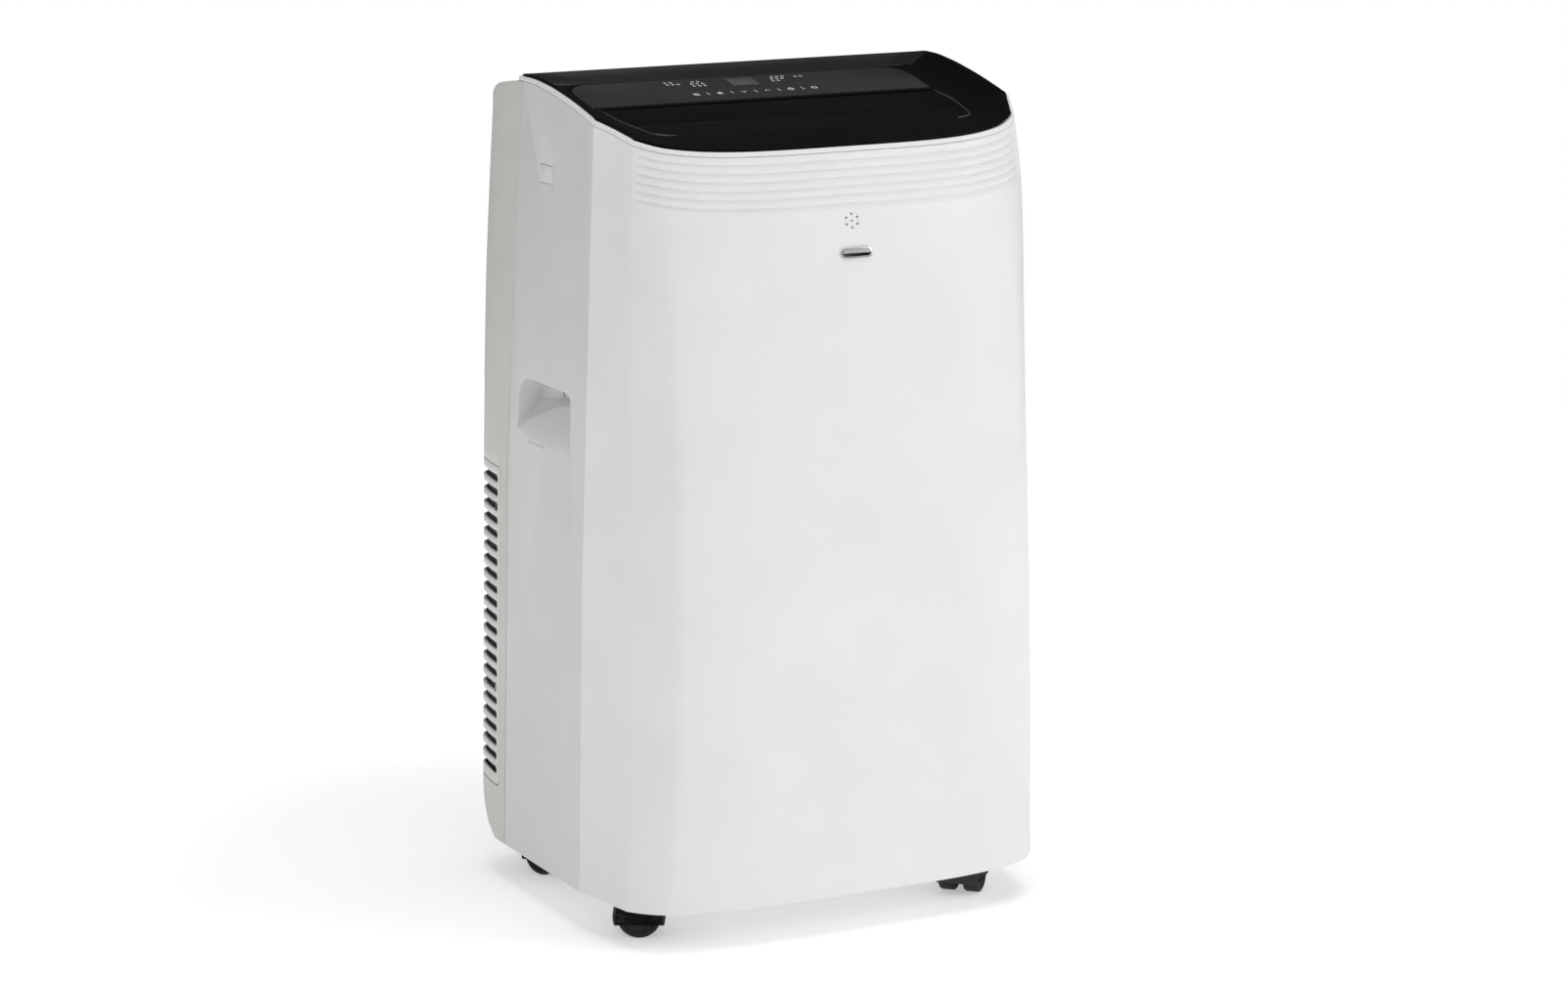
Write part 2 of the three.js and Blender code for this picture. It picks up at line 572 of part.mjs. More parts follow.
const flangePart = skin(0.6).intersect(inFront(CREST_Y)).subtract(under(edgeLine, FLANGE));
const corePart = skin(RIM_WIDTH + 0.6).intersect(inFront(CREST_Y - 0.6)).intersect(aboveTop(-TOP_THICK));
const hingeBosses = [[-175, -168.6], [168.6, 175]].map((x) => box(x, [-13, -3.6], [730.5, 736.5]));
const outletOpening = box([-DOOR_X - 0.5, DOOR_X + 0.5], [DOOR_FRONT - 0.5, -5.1], [680, 790]);
const pinHole = cylinder(PIN_R + 0.4, 2 * 173, "x", [0, HINGE_Y, hingeZ], 10);
const topOpenings = unite(aboveTop(0), solid(recessBlock), outletOpening, pinHole);
add("top_cover", unite(flangePart, corePart, ...hingeBosses).subtract(topOpenings), blackSatin);

const WINDOW = { x: 13.5, front: 35.8, rear: 55.2, thick: 0.8 };
const windowX = [-WINDOW.x, WINDOW.x];
const windowY = [WINDOW.front, WINDOW.rear];
const windowSeat = box(grown(windowX, 0.3), grown(windowY, 0.3), [-WINDOW.thick - 0.3, 5]);
add("control_panel", prismZ(stripOutline(0), -STRIP_THICK, 0).subtract(windowSeat), blackGloss, stripFrame);
add("display_window", box(windowX, windowY, [-WINDOW.thick, 0]), darkGlass, stripFrame);
add("control_board", box([-120, 120], [6, 54], [-13, -11.4]), boardGreen, stripFrame);

// ---------------------------------------------------------------- outlet: flap, duct, vanes and link
const flapSection = [[DOOR_FRONT, 0], [DOOR_BACK, 0], [DOOR_BACK, -DOOR_THICK], [DOOR_FRONT, -DOOR_THICK]]
  .map(([y, drop]) => [y, dishAt(y) + drop]);
const hingePins = cylinder(PIN_R, 2 * 172.4, "x", [0, HINGE_Y, hingeZ], 10)
  .subtract(box([-DOOR_X + 1, DOOR_X - 1], [-20, 0], [720, 760]));
add("outlet_door", prismX(flapSection, -DOOR_X, DOOR_X).add(hingePins), blackSatin);

const DUCT = { x: 165, front: -63.5, rear: -11, wall: 2 };
const vaneX = Array.from({ length: VANE_COUNT }, (_, i) => (i - (VANE_COUNT - 1) / 2) * VANE_PITCH);
const ductSection = [[DUCT.front, DUCT_BOTTOM], [DUCT.rear, DUCT_BOTTOM],
  [DUCT.rear, dishAt(DUCT.rear) - 5], [DUCT.front, dishAt(DUCT.front) - 5]];
const ductX = [-DUCT.x, DUCT.x];
const ductBore = box(grown(ductX, -DUCT.wall), grown([DUCT.front, DUCT.rear], -DUCT.wall), [600, 800]);
const ductWalls = prismX(ductSection, -DUCT.x, DUCT.x).subtract(ductBore);
const rails = [[DUCT_BOTTOM, DUCT_BOTTOM + 3], [718, 721]].map((z) =>
  box(grown(ductX, -1), grown([VANE_Y, VANE_Y], 4), z));
const pivotHoles = vaneX.map((x) => cylinder(1.9, 60, "z", [x, VANE_Y, 703], 8));
add("outlet_duct", ductWalls.add(unite(...rails).subtract(unite(...pivotHoles))), blackSatin);

vaneX.forEach((x, i) => {
  const blade = box([x - 1, x + 1], [VANE_Y - 19, VANE_Y + 19], [690, 715]);
  const pivot = cylinder(1.5, 36, "z", [x, VANE_Y, 702.5], 8);
  const crank = cylinder(1.3, 6, "z", [x, CRANK_Y, 689], 8);
  add("vane_" + (i + 1), unite(blade, pivot, crank), blackSatin);
});
const linkHoles = vaneX.map((x) => cylinder(1.7, 10, "z", [x, CRANK_Y, 688], 8));
const linkEnd = vaneX[VANE_COUNT - 1] + 6;
const linkBar = box([-linkEnd, linkEnd], grown([CRANK_Y, CRANK_Y], 3), [686.2, 688.7]);
add("vane_link", linkBar.subtract(unite(...linkHoles)), blackSatin);
add("door_motor", cylinder(12, 14, "x", [183, -22, 708], 16), zincSteel);

// ---------------------------------------------------------------- base pan and casters
const BASE_FLOOR = [48, 51];
const BASE_RIM = [40, 60];
const slab = ([z0, z1]) => box([-300, 300], [-300, 300], [z0, z1]);
const basePan = skin(3.6).intersect(slab(BASE_RIM))
  .subtract(skin(6).intersect(slab([0, BASE_FLOOR[0]])))
  .subtract(skin(6).intersect(slab([BASE_FLOOR[1], 100])));
const bosses = CASTERS.map(({ x, y }) => cylinder(10, 16, "z", [x, y, BASE_FLOOR[1] + 7], 10));
const stemHoles = CASTERS.map(({ x, y }) => cylinder(5.4, 60, "z", [x, y, 55], 10));
add("base_pan", basePan.add(unite(...bosses)).subtract(unite(...stemHoles)), greyPlastic);

const HOOD_R = 24;
const HOOD_LIP_Z = 12;
for (const { name, x, y, heading } of CASTERS) {
  const frame = new THREE.Group();
  frame.position.set(x, y, 0);
  frame.rotation.z = radians(heading);
  root.add(frame);
  const axle = [CASTER_TRAIL, 0, WHEEL_R];
  const clearance = (side) => cylinder(WHEEL_R + 1.2, 30, "y",
    [CASTER_TRAIL, side * (WHEEL_IN - 0.5 + 15), WHEEL_R], 16);
  const stem = cylinder(5, 30, "z", [0, 0, 48], 10);
  const hood = unite(cylinder(HOOD_R, 40, "y", axle, 16), box([-8, 10], [-8, 8], [33, 43]), stem)
    .intersect(box([-50, 60], [-40, 40], [HOOD_LIP_Z, 80]))
    .subtract(clearance(1)).subtract(clearance(-1))
    .add(cylinder(3, 38, "y", axle, 8));
  add(name + "_caster_hood", hood, casterBlack, frame);
  for (const [side, which] of [[1, "a"], [-1, "b"]]) {
    const rim = [[3.4, 0], [WHEEL_R, 0], [WHEEL_R, WHEEL_WIDE], [3.4, WHEEL_WIDE], [3.4, 0]];
    const start = side > 0 ? WHEEL_IN : -WHEEL_IN - WHEEL_WIDE;
    add(name + "_wheel_" + which, turned(rim, "y", [CASTER_TRAIL, start, WHEEL_R], 20), casterBlack, frame);
  }
}

// ---------------------------------------------------------------- cooling circuit
const TRAY_Z = 392;
const COND_BLOWER = { x: 20, z: 225, front: 50, rear: 112, radius: 103 };
const EVAP_BLOWER = { x: 0, z: 560, front: -64, rear: -12, radius: 100 };
const DUCT_X = [-56, 76];

const tray = skin(8, [TRAY_Z, 405]).subtract(skin(10.5, [TRAY_Z + 3, 410]));
add("partition_tray", tray.subtract(box(DUCT_X, [66, 108], [380, 420]))
  .subtract(cylinder(16, 40, "z", [-118, 24, 400], 12)), foamBlack);

// A blower housing: a drum with a throat, hollowed out to a 2 mm wall.
const scroll = ({ x, z, front, rear, radius }, grow, throat) =>
  cylinder(radius + grow, rear - front + 2 * grow, "y", [x, (front + rear) / 2, z], 26)
    .add(prismY(throat(grow), front - grow, rear + grow));
const housing = (blower, throat) => scroll(blower, 0, throat).subtract(scroll(blower, -2, throat));
const condThroat = (grow) => [[-58 - grow, 225], [78 + grow, 225], [78 + grow, 391 - 5 * grow],
  [-58 - grow, 391 - 5 * grow]];
add("condenser_volute", housing(COND_BLOWER, condThroat)
  .subtract(cylinder(62, 20, "y", [COND_BLOWER.x, COND_BLOWER.rear, COND_BLOWER.z], 20))
  .subtract(cylinder(14, 20, "y", [COND_BLOWER.x, COND_BLOWER.front, COND_BLOWER.z], 12)), foamBlack);
const evapThroat = (grow) => [[-100 - grow, 560], [100 + grow, 560], [162 + grow, 683.5 - 5 * grow],
  [-162 - grow, 683.5 - 5 * grow]];
add("evaporator_volute", housing(EVAP_BLOWER, evapThroat)
  .subtract(cylinder(58, 20, "y", [EVAP_BLOWER.x, EVAP_BLOWER.rear, EVAP_BLOWER.z], 20))
  .subtract(cylinder(14, 20, "y", [EVAP_BLOWER.x, EVAP_BLOWER.front, EVAP_BLOWER.z], 12)), foamBlack);

// A drum wheel: back plate, blades, end ring, hub and shaft in one moulding.
function drum({ x, z, front, rear }, radius) {
  const start = front + 6;
  const deep = rear - front - 12;
  const plate = cylinder(radius, 2, "y", [x, start + 1, z], 16);
  const ring = cylinder(radius, 2.5, "y", [x, start + deep - 1.25, z], 16)
    .subtract(cylinder(radius - 15, 10, "y", [x, start + deep, z], 16));
  const blades = Array.from({ length: 8 }, (_, i) => {
    const geometry = new THREE.BoxGeometry(2, deep - 1, 11);
    geometry.translate(0, start + (deep - 1) / 2, radius - 8.5);
    geometry.rotateY((i * Math.PI) / 4);
    return solid(geometry.translate(x, 0, z));
  });
  const hub = cylinder(12, 22, "y", [x, start + 10, z], 10);
  const shaft = cylinder(5, 30, "y", [x, start - 12, z], 8);
  return unite(plate, ring, ...blades, hub, shaft);
}
function fanMotor({ x, z, front }, radius, length) {
  const base = front - 2 - length;
  return turned([[0, 0], [radius - 6, 0], [radius, 6], [radius, length - 4], [radius - 4, length],
    [6, length], [6, length - 26], [0, length - 26]], "y", [x, base, z], 16);
}
add("condenser_blower_wheel", drum(COND_BLOWER, 78), foamBlack);
add("condenser_motor", fanMotor(COND_BLOWER, 45, 50), zincSteel);
add("evaporator_blower_wheel", drum(EVAP_BLOWER, 72), foamBlack);
add("evaporator_motor", fanMotor(EVAP_BLOWER, 42, 50), zincSteel);

// A fin block between two end plates that stand out by 2 to 3 mm all round.
function coil(half, y, z) {
  const plates = [-half, half].map((x) => box(grown([x, x], 1), grown(y, 2.5), grown(z, 2.5)));
  return unite(box([-half, half], y, z), ...plates);
}
add("condenser_coil", coil(168, [142, 170], [98, 385]), aluminiumFin);
add("evaporator_coil", coil(148, [97.5, 127.5], [578.5, 732.5]), aluminiumFin);
const flueRear = 160;
const flueRoom = box([-78, 78], [64, flueRear - 2], [408.5, 560]);
const flueInlet = box(DUCT_X, [66, 108], [400, 415]);
const flueOutlet = cylinder(EXHAUST_R, 20, "y", [0, flueRear, EXHAUST_Z], 28);
add("exhaust_duct", box([-80, 80], [62, flueRear], [406.5, 562])
  .subtract(unite(flueRoom, flueInlet, flueOutlet)), foamBlack);

const COMPRESSOR = { x: -90, y: -50, base: 52 };
const compressorCan = turned([[0, 3], [61, 3], [61, 205], [52, 222], [24, 232], [0, 234]], "z",
  [COMPRESSOR.x, COMPRESSOR.y, COMPRESSOR.base], 22);
const compressorFoot = box(grown([COMPRESSOR.x, COMPRESSOR.x], 58), grown([COMPRESSOR.y, COMPRESSOR.y], 55),
  [COMPRESSOR.base, COMPRESSOR.base + 4]);
add("compressor", compressorCan.add(compressorFoot), paintedBlack);
add("accumulator", turned([[0, 0], [18, 4], [24, 14], [24, 136], [18, 146], [0, 150]], "z",
  [-25, -125, 100], 16), paintedBlack);
const suctionRoute = [[-25, -125, 250.5], [-25, -125, 300], [-60, -95, 345], [-110, -10, 365],
  [-120, 30, 400], [-128, 60, 480], [-160, 100, 580], [-163, 112, 636], [-151, 112, 640]];
const dischargeRoute = [[-90, -50, 286.5], [-90, -50, 320], [-120, -20, 350], [-165, 60, 360],
  [-183, 120, 350], [-185, 152, 330], [-171.5, 156, 325]];
add("suction_pipe", pipe(suctionRoute, 5, 24, 6), copper);
add("discharge_pipe", pipe(dischargeRoute, 4, 20, 6), copper);
add("electrical_box", box([105, 175], [-138, -75], [430, 600]), greyPlastic);
add("run_capacitor", turned([[0, 0], [20, 0], [20, 86], [16, 90], [0, 90]], "z", [-140, -110, 420], 16),
  aluminiumFin);

export default root;
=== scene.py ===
import json
import math
from contextlib import contextmanager

import bmesh
import bpy
from mathutils import Matrix, Vector

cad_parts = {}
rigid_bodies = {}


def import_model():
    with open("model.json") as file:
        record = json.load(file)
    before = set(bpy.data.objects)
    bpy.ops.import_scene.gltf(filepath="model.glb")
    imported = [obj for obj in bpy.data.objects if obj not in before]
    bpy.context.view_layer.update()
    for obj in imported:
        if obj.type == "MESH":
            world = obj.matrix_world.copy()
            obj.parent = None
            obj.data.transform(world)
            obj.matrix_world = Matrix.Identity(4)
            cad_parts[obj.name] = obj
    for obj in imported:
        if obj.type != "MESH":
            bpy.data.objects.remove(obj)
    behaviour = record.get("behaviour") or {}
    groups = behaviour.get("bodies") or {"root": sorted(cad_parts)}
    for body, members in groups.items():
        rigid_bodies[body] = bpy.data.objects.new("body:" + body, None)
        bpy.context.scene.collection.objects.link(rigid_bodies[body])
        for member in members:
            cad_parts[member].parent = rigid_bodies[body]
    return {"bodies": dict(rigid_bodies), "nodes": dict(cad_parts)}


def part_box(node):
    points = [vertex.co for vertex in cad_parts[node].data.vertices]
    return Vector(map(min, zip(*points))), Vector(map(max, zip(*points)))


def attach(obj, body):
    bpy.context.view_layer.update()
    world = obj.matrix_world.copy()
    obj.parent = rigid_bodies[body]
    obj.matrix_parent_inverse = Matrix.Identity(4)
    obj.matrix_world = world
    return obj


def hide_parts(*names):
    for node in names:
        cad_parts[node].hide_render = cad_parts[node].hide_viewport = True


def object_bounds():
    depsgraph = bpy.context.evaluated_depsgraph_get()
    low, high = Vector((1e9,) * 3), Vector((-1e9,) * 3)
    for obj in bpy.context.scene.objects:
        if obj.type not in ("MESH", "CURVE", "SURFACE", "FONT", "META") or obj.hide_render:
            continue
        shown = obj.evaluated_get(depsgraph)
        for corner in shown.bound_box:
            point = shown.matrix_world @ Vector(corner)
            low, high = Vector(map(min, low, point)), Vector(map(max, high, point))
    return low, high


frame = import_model()
cad_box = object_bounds()

MM = 0.001  # shapes below are in millimetres, objects in metres
UP = Vector((0, 0, 1))


# -------- lines of the casing, [height, y] in mm
HALF_WIDTH = cad_box[1].x / MM
SKIRT_Z = 36
SIDE_DRAFT = 0.0197  # how much the sides lean in for each mm of height
WALL = 3
SEAM = 0.25  # half the gap between two covers
CROWN_END = 47  # in from the side, where the front's shallow crown ends
CROWN_DROP = 16
CORNER_PULL = (30, 22)
SLAB_WIDE = 14
CREASE_BACK = 4  # how far the crease recedes, from CREASE_FROM upwards
CREASE_FROM = 640
CREASE_RUN = 80
BEND_Y = 112
BEND_R = 280
REAR_CORNER_R = 22
CREST_Y = 78
RIM_BACK_Y = 84
COVER_DROP = 6.5
FRONT_LINE = [[36, -179], [84, -187.5], [200, -195], [310, -194], [530, -181], [690, -159], [770, -138]]
REAR_LINE = [[36, 150], [50, 175], [80, 191], [200, 193.5], [400, 195], [553, 188], [645, 176],
             [728, 164]]
CREASE_LINE = [[36, -134], [84, -132], [330, -128], [600, -127], [725, -120], [770, -112]]
FRONT_SEAM = [[20, -61], [321, -61], [499, -68], [800, -80]]
REAR_SEAM = [[20, 108], [400, 105], [653, 89], [800, 70]]
# Upper lines, [y, height]: the black top's outer edge, then the casing's roof behind it
TOP_EDGE = [[-160, 714], [-150, 716.5], [-138, 720], [-118, 728], [-87, 738.5], [-56, 746.5],
            [-15, 755], [28, 761.5], [60, 764], [84, 764]]
ROOF_LINE = [[84, 757.5], [117, 753], [135, 749], [148, 741], [156, 730], [170, 700], [230, 600]]


def lerp(a, b, t):
    return a + (b - a) * t


def along(knots, t):
    """A smooth value through knots [[t, v], ...] that never overshoots."""
    last = len(knots) - 1
    if t <= knots[0][0]:
        return knots[0][1]
    if t >= knots[last][0]:
        return knots[last][1]
    i = next(k for k in range(last + 1) if knots[k][0] > t) - 1

    def chord(j):
        return (knots[j + 1][1] - knots[j][1]) / (knots[j + 1][0] - knots[j][0])

    def slope(j):
        if j == 0:
            return chord(0)
        if j == last:
            return chord(last - 1)
        a, b = chord(j - 1), chord(j)
        return 0 if a * b <= 0 else 2 * a * b / (a + b)

    width = knots[i + 1][0] - knots[i][0]
    s = (t - knots[i][0]) / width
    start = (1 + 2 * s) * (1 - s) ** 2 * knots[i][1] + s * (1 - s) ** 2 * width * slope(i)
    end = s * s * (3 - 2 * s) * knots[i + 1][1] + s * s * (s - 1) * width * slope(i + 1)
    return start + end


def straight(knots, t):
    """The straight-line value through knots [[t, v], ...]."""
    i = max(1, next((k for k, knot in enumerate(knots) if knot[0] >= t), len(knots) - 1))
    (t0, v0), (t1, v1) = knots[i - 1], knots[i]
    return lerp(v0, v1, (t - t0) / (t1 - t0))


def quadratic(start, pull, end, t):
    """A point of the curve from start to end that bends towards pull."""
    return tuple((1 - t) ** 2 * a + 2 * t * (1 - t) * b + t * t * c for a, b, c in zip(start, pull, end))


def half_width(z):
    return HALF_WIDTH - SIDE_DRAFT * (z - SKIRT_Z)


# The right half of the plan outline at height z, in stretches from the front centre to the rear centre
def crown(t, z):
    return (half_width(z) - CROWN_END) * t, along(FRONT_LINE, z) + CROWN_DROP * t**4


def crease(z):
    """The soft edge between the front's corner and the slab beside it. It recedes towards the top."""
    back_off = CREASE_BACK * min(1, max(0, (z - CREASE_FROM) / CREASE_RUN)) ** 2
    return half_width(z) - SLAB_WIDE - 0.95 * back_off, along(CREASE_LINE, z) + 0.3 * back_off


def corner(t, z):
    w, front = half_width(z), along(FRONT_LINE, z)
    pull = (w - CORNER_PULL[0], front + CORNER_PULL[1])
    return quadratic((w - CROWN_END, front + CROWN_DROP), pull, crease(z), t)


def slab(t, z):
    x, y = crease(z)
    return lerp(x, half_width(z), t), lerp(y, straight(FRONT_SEAM, z) - SEAM, t)


def flank(t, z):
    return half_width(z), lerp(straight(FRONT_SEAM, z), CREST_Y - 0.6, t)


def shoulder(t, z):
    return half_width(z), lerp(straight(REAR_SEAM, z) + SEAM, BEND_Y, t)


def rear_arc(z):
    rear = along(REAR_LINE, z)
    turn = math.asin((rear - REAR_CORNER_R - BEND_Y) / (BEND_R - REAR_CORNER_R))
    return rear, turn


def bend(t, z):
    angle = rear_arc(z)[1] * t
    return half_width(z) - BEND_R * (1 - math.cos(angle)), BEND_Y + BEND_R * math.sin(angle)


def rear_corner(t, z):
    rear, turn = rear_arc(z)
    angle = lerp(turn, math.pi / 2, t)
    centre_x = half_width(z) - (BEND_R - REAR_CORNER_R) * (1 - math.cos(turn)) - REAR_CORNER_R
    return (centre_x + REAR_CORNER_R * math.cos(angle),
            rear - REAR_CORNER_R + REAR_CORNER_R * math.sin(angle))


def back(t, z):
    return rear_corner(1, z)[0] * (1 - t), along(REAR_LINE, z)


def outward(stretch, t, z):
    """The outline's outward normal in plan."""
    (x0, y0), (x1, y1) = stretch(t - 0.01, z), stretch(t + 0.01, z)
    return Vector((y1 - y0, x0 - x1)).normalized()


def inset(stretch, t, z, by):
    return Vector(stretch(t, z)) - outward(stretch, t, z) * by


def roof_height(y):
    return along(TOP_EDGE, y) - COVER_DROP if y < RIM_BACK_Y else along(ROOF_LINE, y)


def solve_height(stretch, t, height_at):
    """The height at which the leaning outline meets a side-view line."""
    z = 740
    for _ in range(25):
        z = height_at(stretch(t, z)[1])
    return z


def steps(count, first=0):
    return [k / count for k in range(first, count + 1)]


def flipped(columns):
    """Columns of points, mirrored to the left."""
    return [[(-x, y, z) for x, y, z in column] for column in columns]


def middle(node, axis):
    """The middle of a CAD node along one axis, in mm."""
    return sum(edge[axis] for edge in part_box(node)) / 2 / MM


# -------- mesh tools
def linked(name, data):
    obj = bpy.data.objects.new(name, data)
    bpy.context.scene.collection.objects.link(obj)
    return obj


@contextmanager
def editing(mesh):
    """Opens a mesh for changes and writes it back."""
    form = bmesh.new()
    form.from_mesh(mesh)
    yield form
    form.to_mesh(mesh)
    form.free()


def make(name, points, faces, closed=False):
    """An object from points in mm. A closed one gets its faces turned outwards."""
    mesh = bpy.data.meshes.new(name)
    mesh.from_pydata([Vector(p) * MM for p in points], [], faces)
    if closed:
        with editing(mesh) as form:
            bmesh.ops.remove_doubles(form, verts=form.verts, dist=1e-6)
            bmesh.ops.recalc_face_normals(form, faces=form.faces)
    return linked(name, mesh)


def sheet(name, columns):
    """An open grid: columns of points, left to right, each from the bottom up."""
    tall = len(columns[0])
    faces = [(c * tall + r, (c + 1) * tall + r, (c + 1) * tall + r + 1, c * tall + r + 1)
             for c in range(len(columns) - 1) for r in range(tall - 1)]
    return make(name, [p for column in columns for p in column], faces)


def walled(name, outer, inner):
    """A closed wall between two grids of the same size."""
    tall, wide = len(outer[0]), len(outer)
    half = tall * wide
    faces = []
    for c in range(wide - 1):
        for r in range(tall - 1):
            quad = (c * tall + r, (c + 1) * tall + r, (c + 1) * tall + r + 1, c * tall + r + 1)
            faces += [quad, tuple(half + k for k in quad)]
    edge = [*(c * tall for c in range(wide)), *((wide - 1) * tall + r for r in range(1, tall)),
            *(c * tall + tall - 1 for c in range(wide - 2, -1, -1)), *range(tall - 2, 0, -1)]
    for k, a in enumerate(edge):
        b = edge[(k + 1) % len(edge)]
        faces.append((a, b, half + b, half + a))
    points = [p for grid in (outer, inner) for column in grid for p in column]
    return make(name, points, faces, closed=True)


def prism(name, outline, low, high, place):
    """A closed prism: outline [a, b] between two depths, placed by place(a, b, depth)."""
    n = len(outline)
    points = [place(a, b, low) for a, b in outline] + [place(a, b, high) for a, b in outline]
    sides = [(i, (i + 1) % n, n + (i + 1) % n, n + i) for i in range(n)]
    return make(name, points, [tuple(range(n)), tuple(range(n, 2 * n)), *sides], closed=True)


def along_x(a, b, depth):
    return depth, a, b


def along_y(a, b, depth):
    return a, depth, b


def along_z(a, b, depth):
    return a, b, depth


def block(name, x, y, z):
    return prism(name, [(x[0], y[0]), (x[1], y[0]), (x[1], y[1]), (x[0], y[1])], z[0], z[1], along_z)


def loft(name, rings):
    """A closed skin through rings of equal length."""
    n = len(rings[0])
    faces = [(k * n + i, k * n + (i + 1) % n, (k + 1) * n + (i + 1) % n, (k + 1) * n + i)
             for k in range(len(rings) - 1) for i in range(n)]
    last = (len(rings) - 1) * n
    caps = [tuple(range(n)), tuple(range(last, last + n))]
    return make(name, [p for ring in rings for p in ring], [*faces, *caps], closed=True)


def turned(name, profile, count=48):
    """A turned solid round the local Z axis from a closed profile of [radius, height]."""
    n = len(profile)
    points = []
    for k in range(count):
        angle = 2 * math.pi * k / count
        points += [(r * math.cos(angle), r * math.sin(angle), h) for r, h in profile]
    faces = [(k * n + i, k * n + (i + 1) % n, (k + 1) % count * n + (i + 1) % n, (k + 1) % count * n + i)
             for k in range(count) for i in range(n)]
    obj = make(name, points, faces, closed=True)
    with editing(obj.data) as form:
        bmesh.ops.dissolve_degenerate(form, edges=form.edges, dist=1e-7)
        bmesh.ops.recalc_face_normals(form, faces=form.faces)
    return obj


def cylinder(name, radius, length, count=32):
    return prism(name, arc((0, 0), radius, 0, 360, count)[:-1], 0, length, along_z)


def bore(at, radius, count, low, high):
    """A round cutter along Y, at [x, height]."""
    return prism("hole", arc(at, radius, 0, 360, count)[:-1], low, high, along_y)


def arc(centre, radius, start, sweep, count):
    """Points of an arc, angles in degrees."""
    return [(centre[0] + radius * math.cos(math.radians(start + sweep * k / count)),
             centre[1] + radius * math.sin(math.radians(start + sweep * k / count)))
            for k in range(count + 1)]


def rounded(x, y, front, rear, count=8):
    """A rectangle with rounded corners: radii of the corners at low and at high y."""
    return [*arc((x[1] - front, y[0] + front), front, -90, 90, count),
            *arc((x[1] - rear, y[1] - rear), rear, 0, 90, count),
            *arc((x[0] + rear, y[1] - rear), rear, 90, 90, count),
            *arc((x[0] + front, y[0] + front), front, 180, 90, count)]


def moved(obj, matrix):
    obj.data.transform(matrix)
    obj.data.update()
    return obj


def placed(obj, at, axis):
    """Turns the local Z axis to the named one, then moves the object to a point in mm."""
    turn = UP.rotation_difference(Vector(axis)).to_matrix().to_4x4()
    return moved(obj, Matrix.Translation(Vector(at) * MM) @ turn)


def bake(obj):
    mesh = bpy.data.meshes.new_from_object(obj.evaluated_get(bpy.context.evaluated_depsgraph_get()))
    obj.modifiers.clear()
    obj.data = mesh
    return obj


def combine(obj, tool, operation):
    change = obj.modifiers.new(operation, "BOOLEAN")
    change.operation = operation
    change.solver = "MANIFOLD"
    change.object = tool
    bake(obj)
    bpy.data.objects.remove(tool)
    return obj


def cut(obj, tool):
    return combine(obj, tool, "DIFFERENCE")


def add(obj, tool):
    return combine(obj, tool, "UNION")


def merged(name, objects):
    """Several separate solids as one mesh."""
    mesh = bpy.data.meshes.new(name)
    with editing(mesh) as form:
        for obj in objects:
            form.from_mesh(obj.data)
            bpy.data.objects.remove(obj)
    return linked(name, mesh)


def thicken(obj, by):
    change = obj.modifiers.new("thickness", "SOLIDIFY")
    change.thickness = by * MM
    change.offset = -1
    change.use_even_offset = True
    return bake(obj)


def deepen(obj, by):
    """Closes an open sheet with a copy of itself straight below."""
    with editing(obj.data) as form:
        lower = bmesh.ops.extrude_face_region(form, geom=form.faces[:], use_keep_orig=True)
        verts = [v for v in lower["geom"] if isinstance(v, bmesh.types.BMVert)]
        bmesh.ops.translate(form, vec=(0, 0, -by * MM), verts=verts)
        bmesh.ops.recalc_face_normals(form, faces=form.faces)
    return obj


def soften(obj, width, count=2, angle=30):
    """Rounds every edge sharper than the angle."""
    change = obj.modifiers.new("edges", "BEVEL")
    change.width = width * MM
    change.segments = count
    change.limit_method = "ANGLE"
    change.angle_limit = math.radians(angle)
    change.use_clamp_overlap = False
    return bake(obj)


def finish_piece(obj, material, nodes=(), body="casing", angle=35):
    """Gives a piece its looks and its place in the frame."""
    obj.data.shade_smooth()
    obj.data.set_sharp_from_angle(angle=math.radians(angle))
    obj.data.materials.clear()
    obj.data.materials.append(material)
    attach(obj, body)
    if nodes:
        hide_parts(*nodes)
    return obj


def node(tree, kind, **values):
    """A shader node with some of its sockets set. A blank in a socket's name is written as _."""
    made = tree.nodes.new(f"ShaderNode{kind}")
    for socket, value in values.items():
        made.inputs[socket.replace("_", " ")].default_value = value
    return made


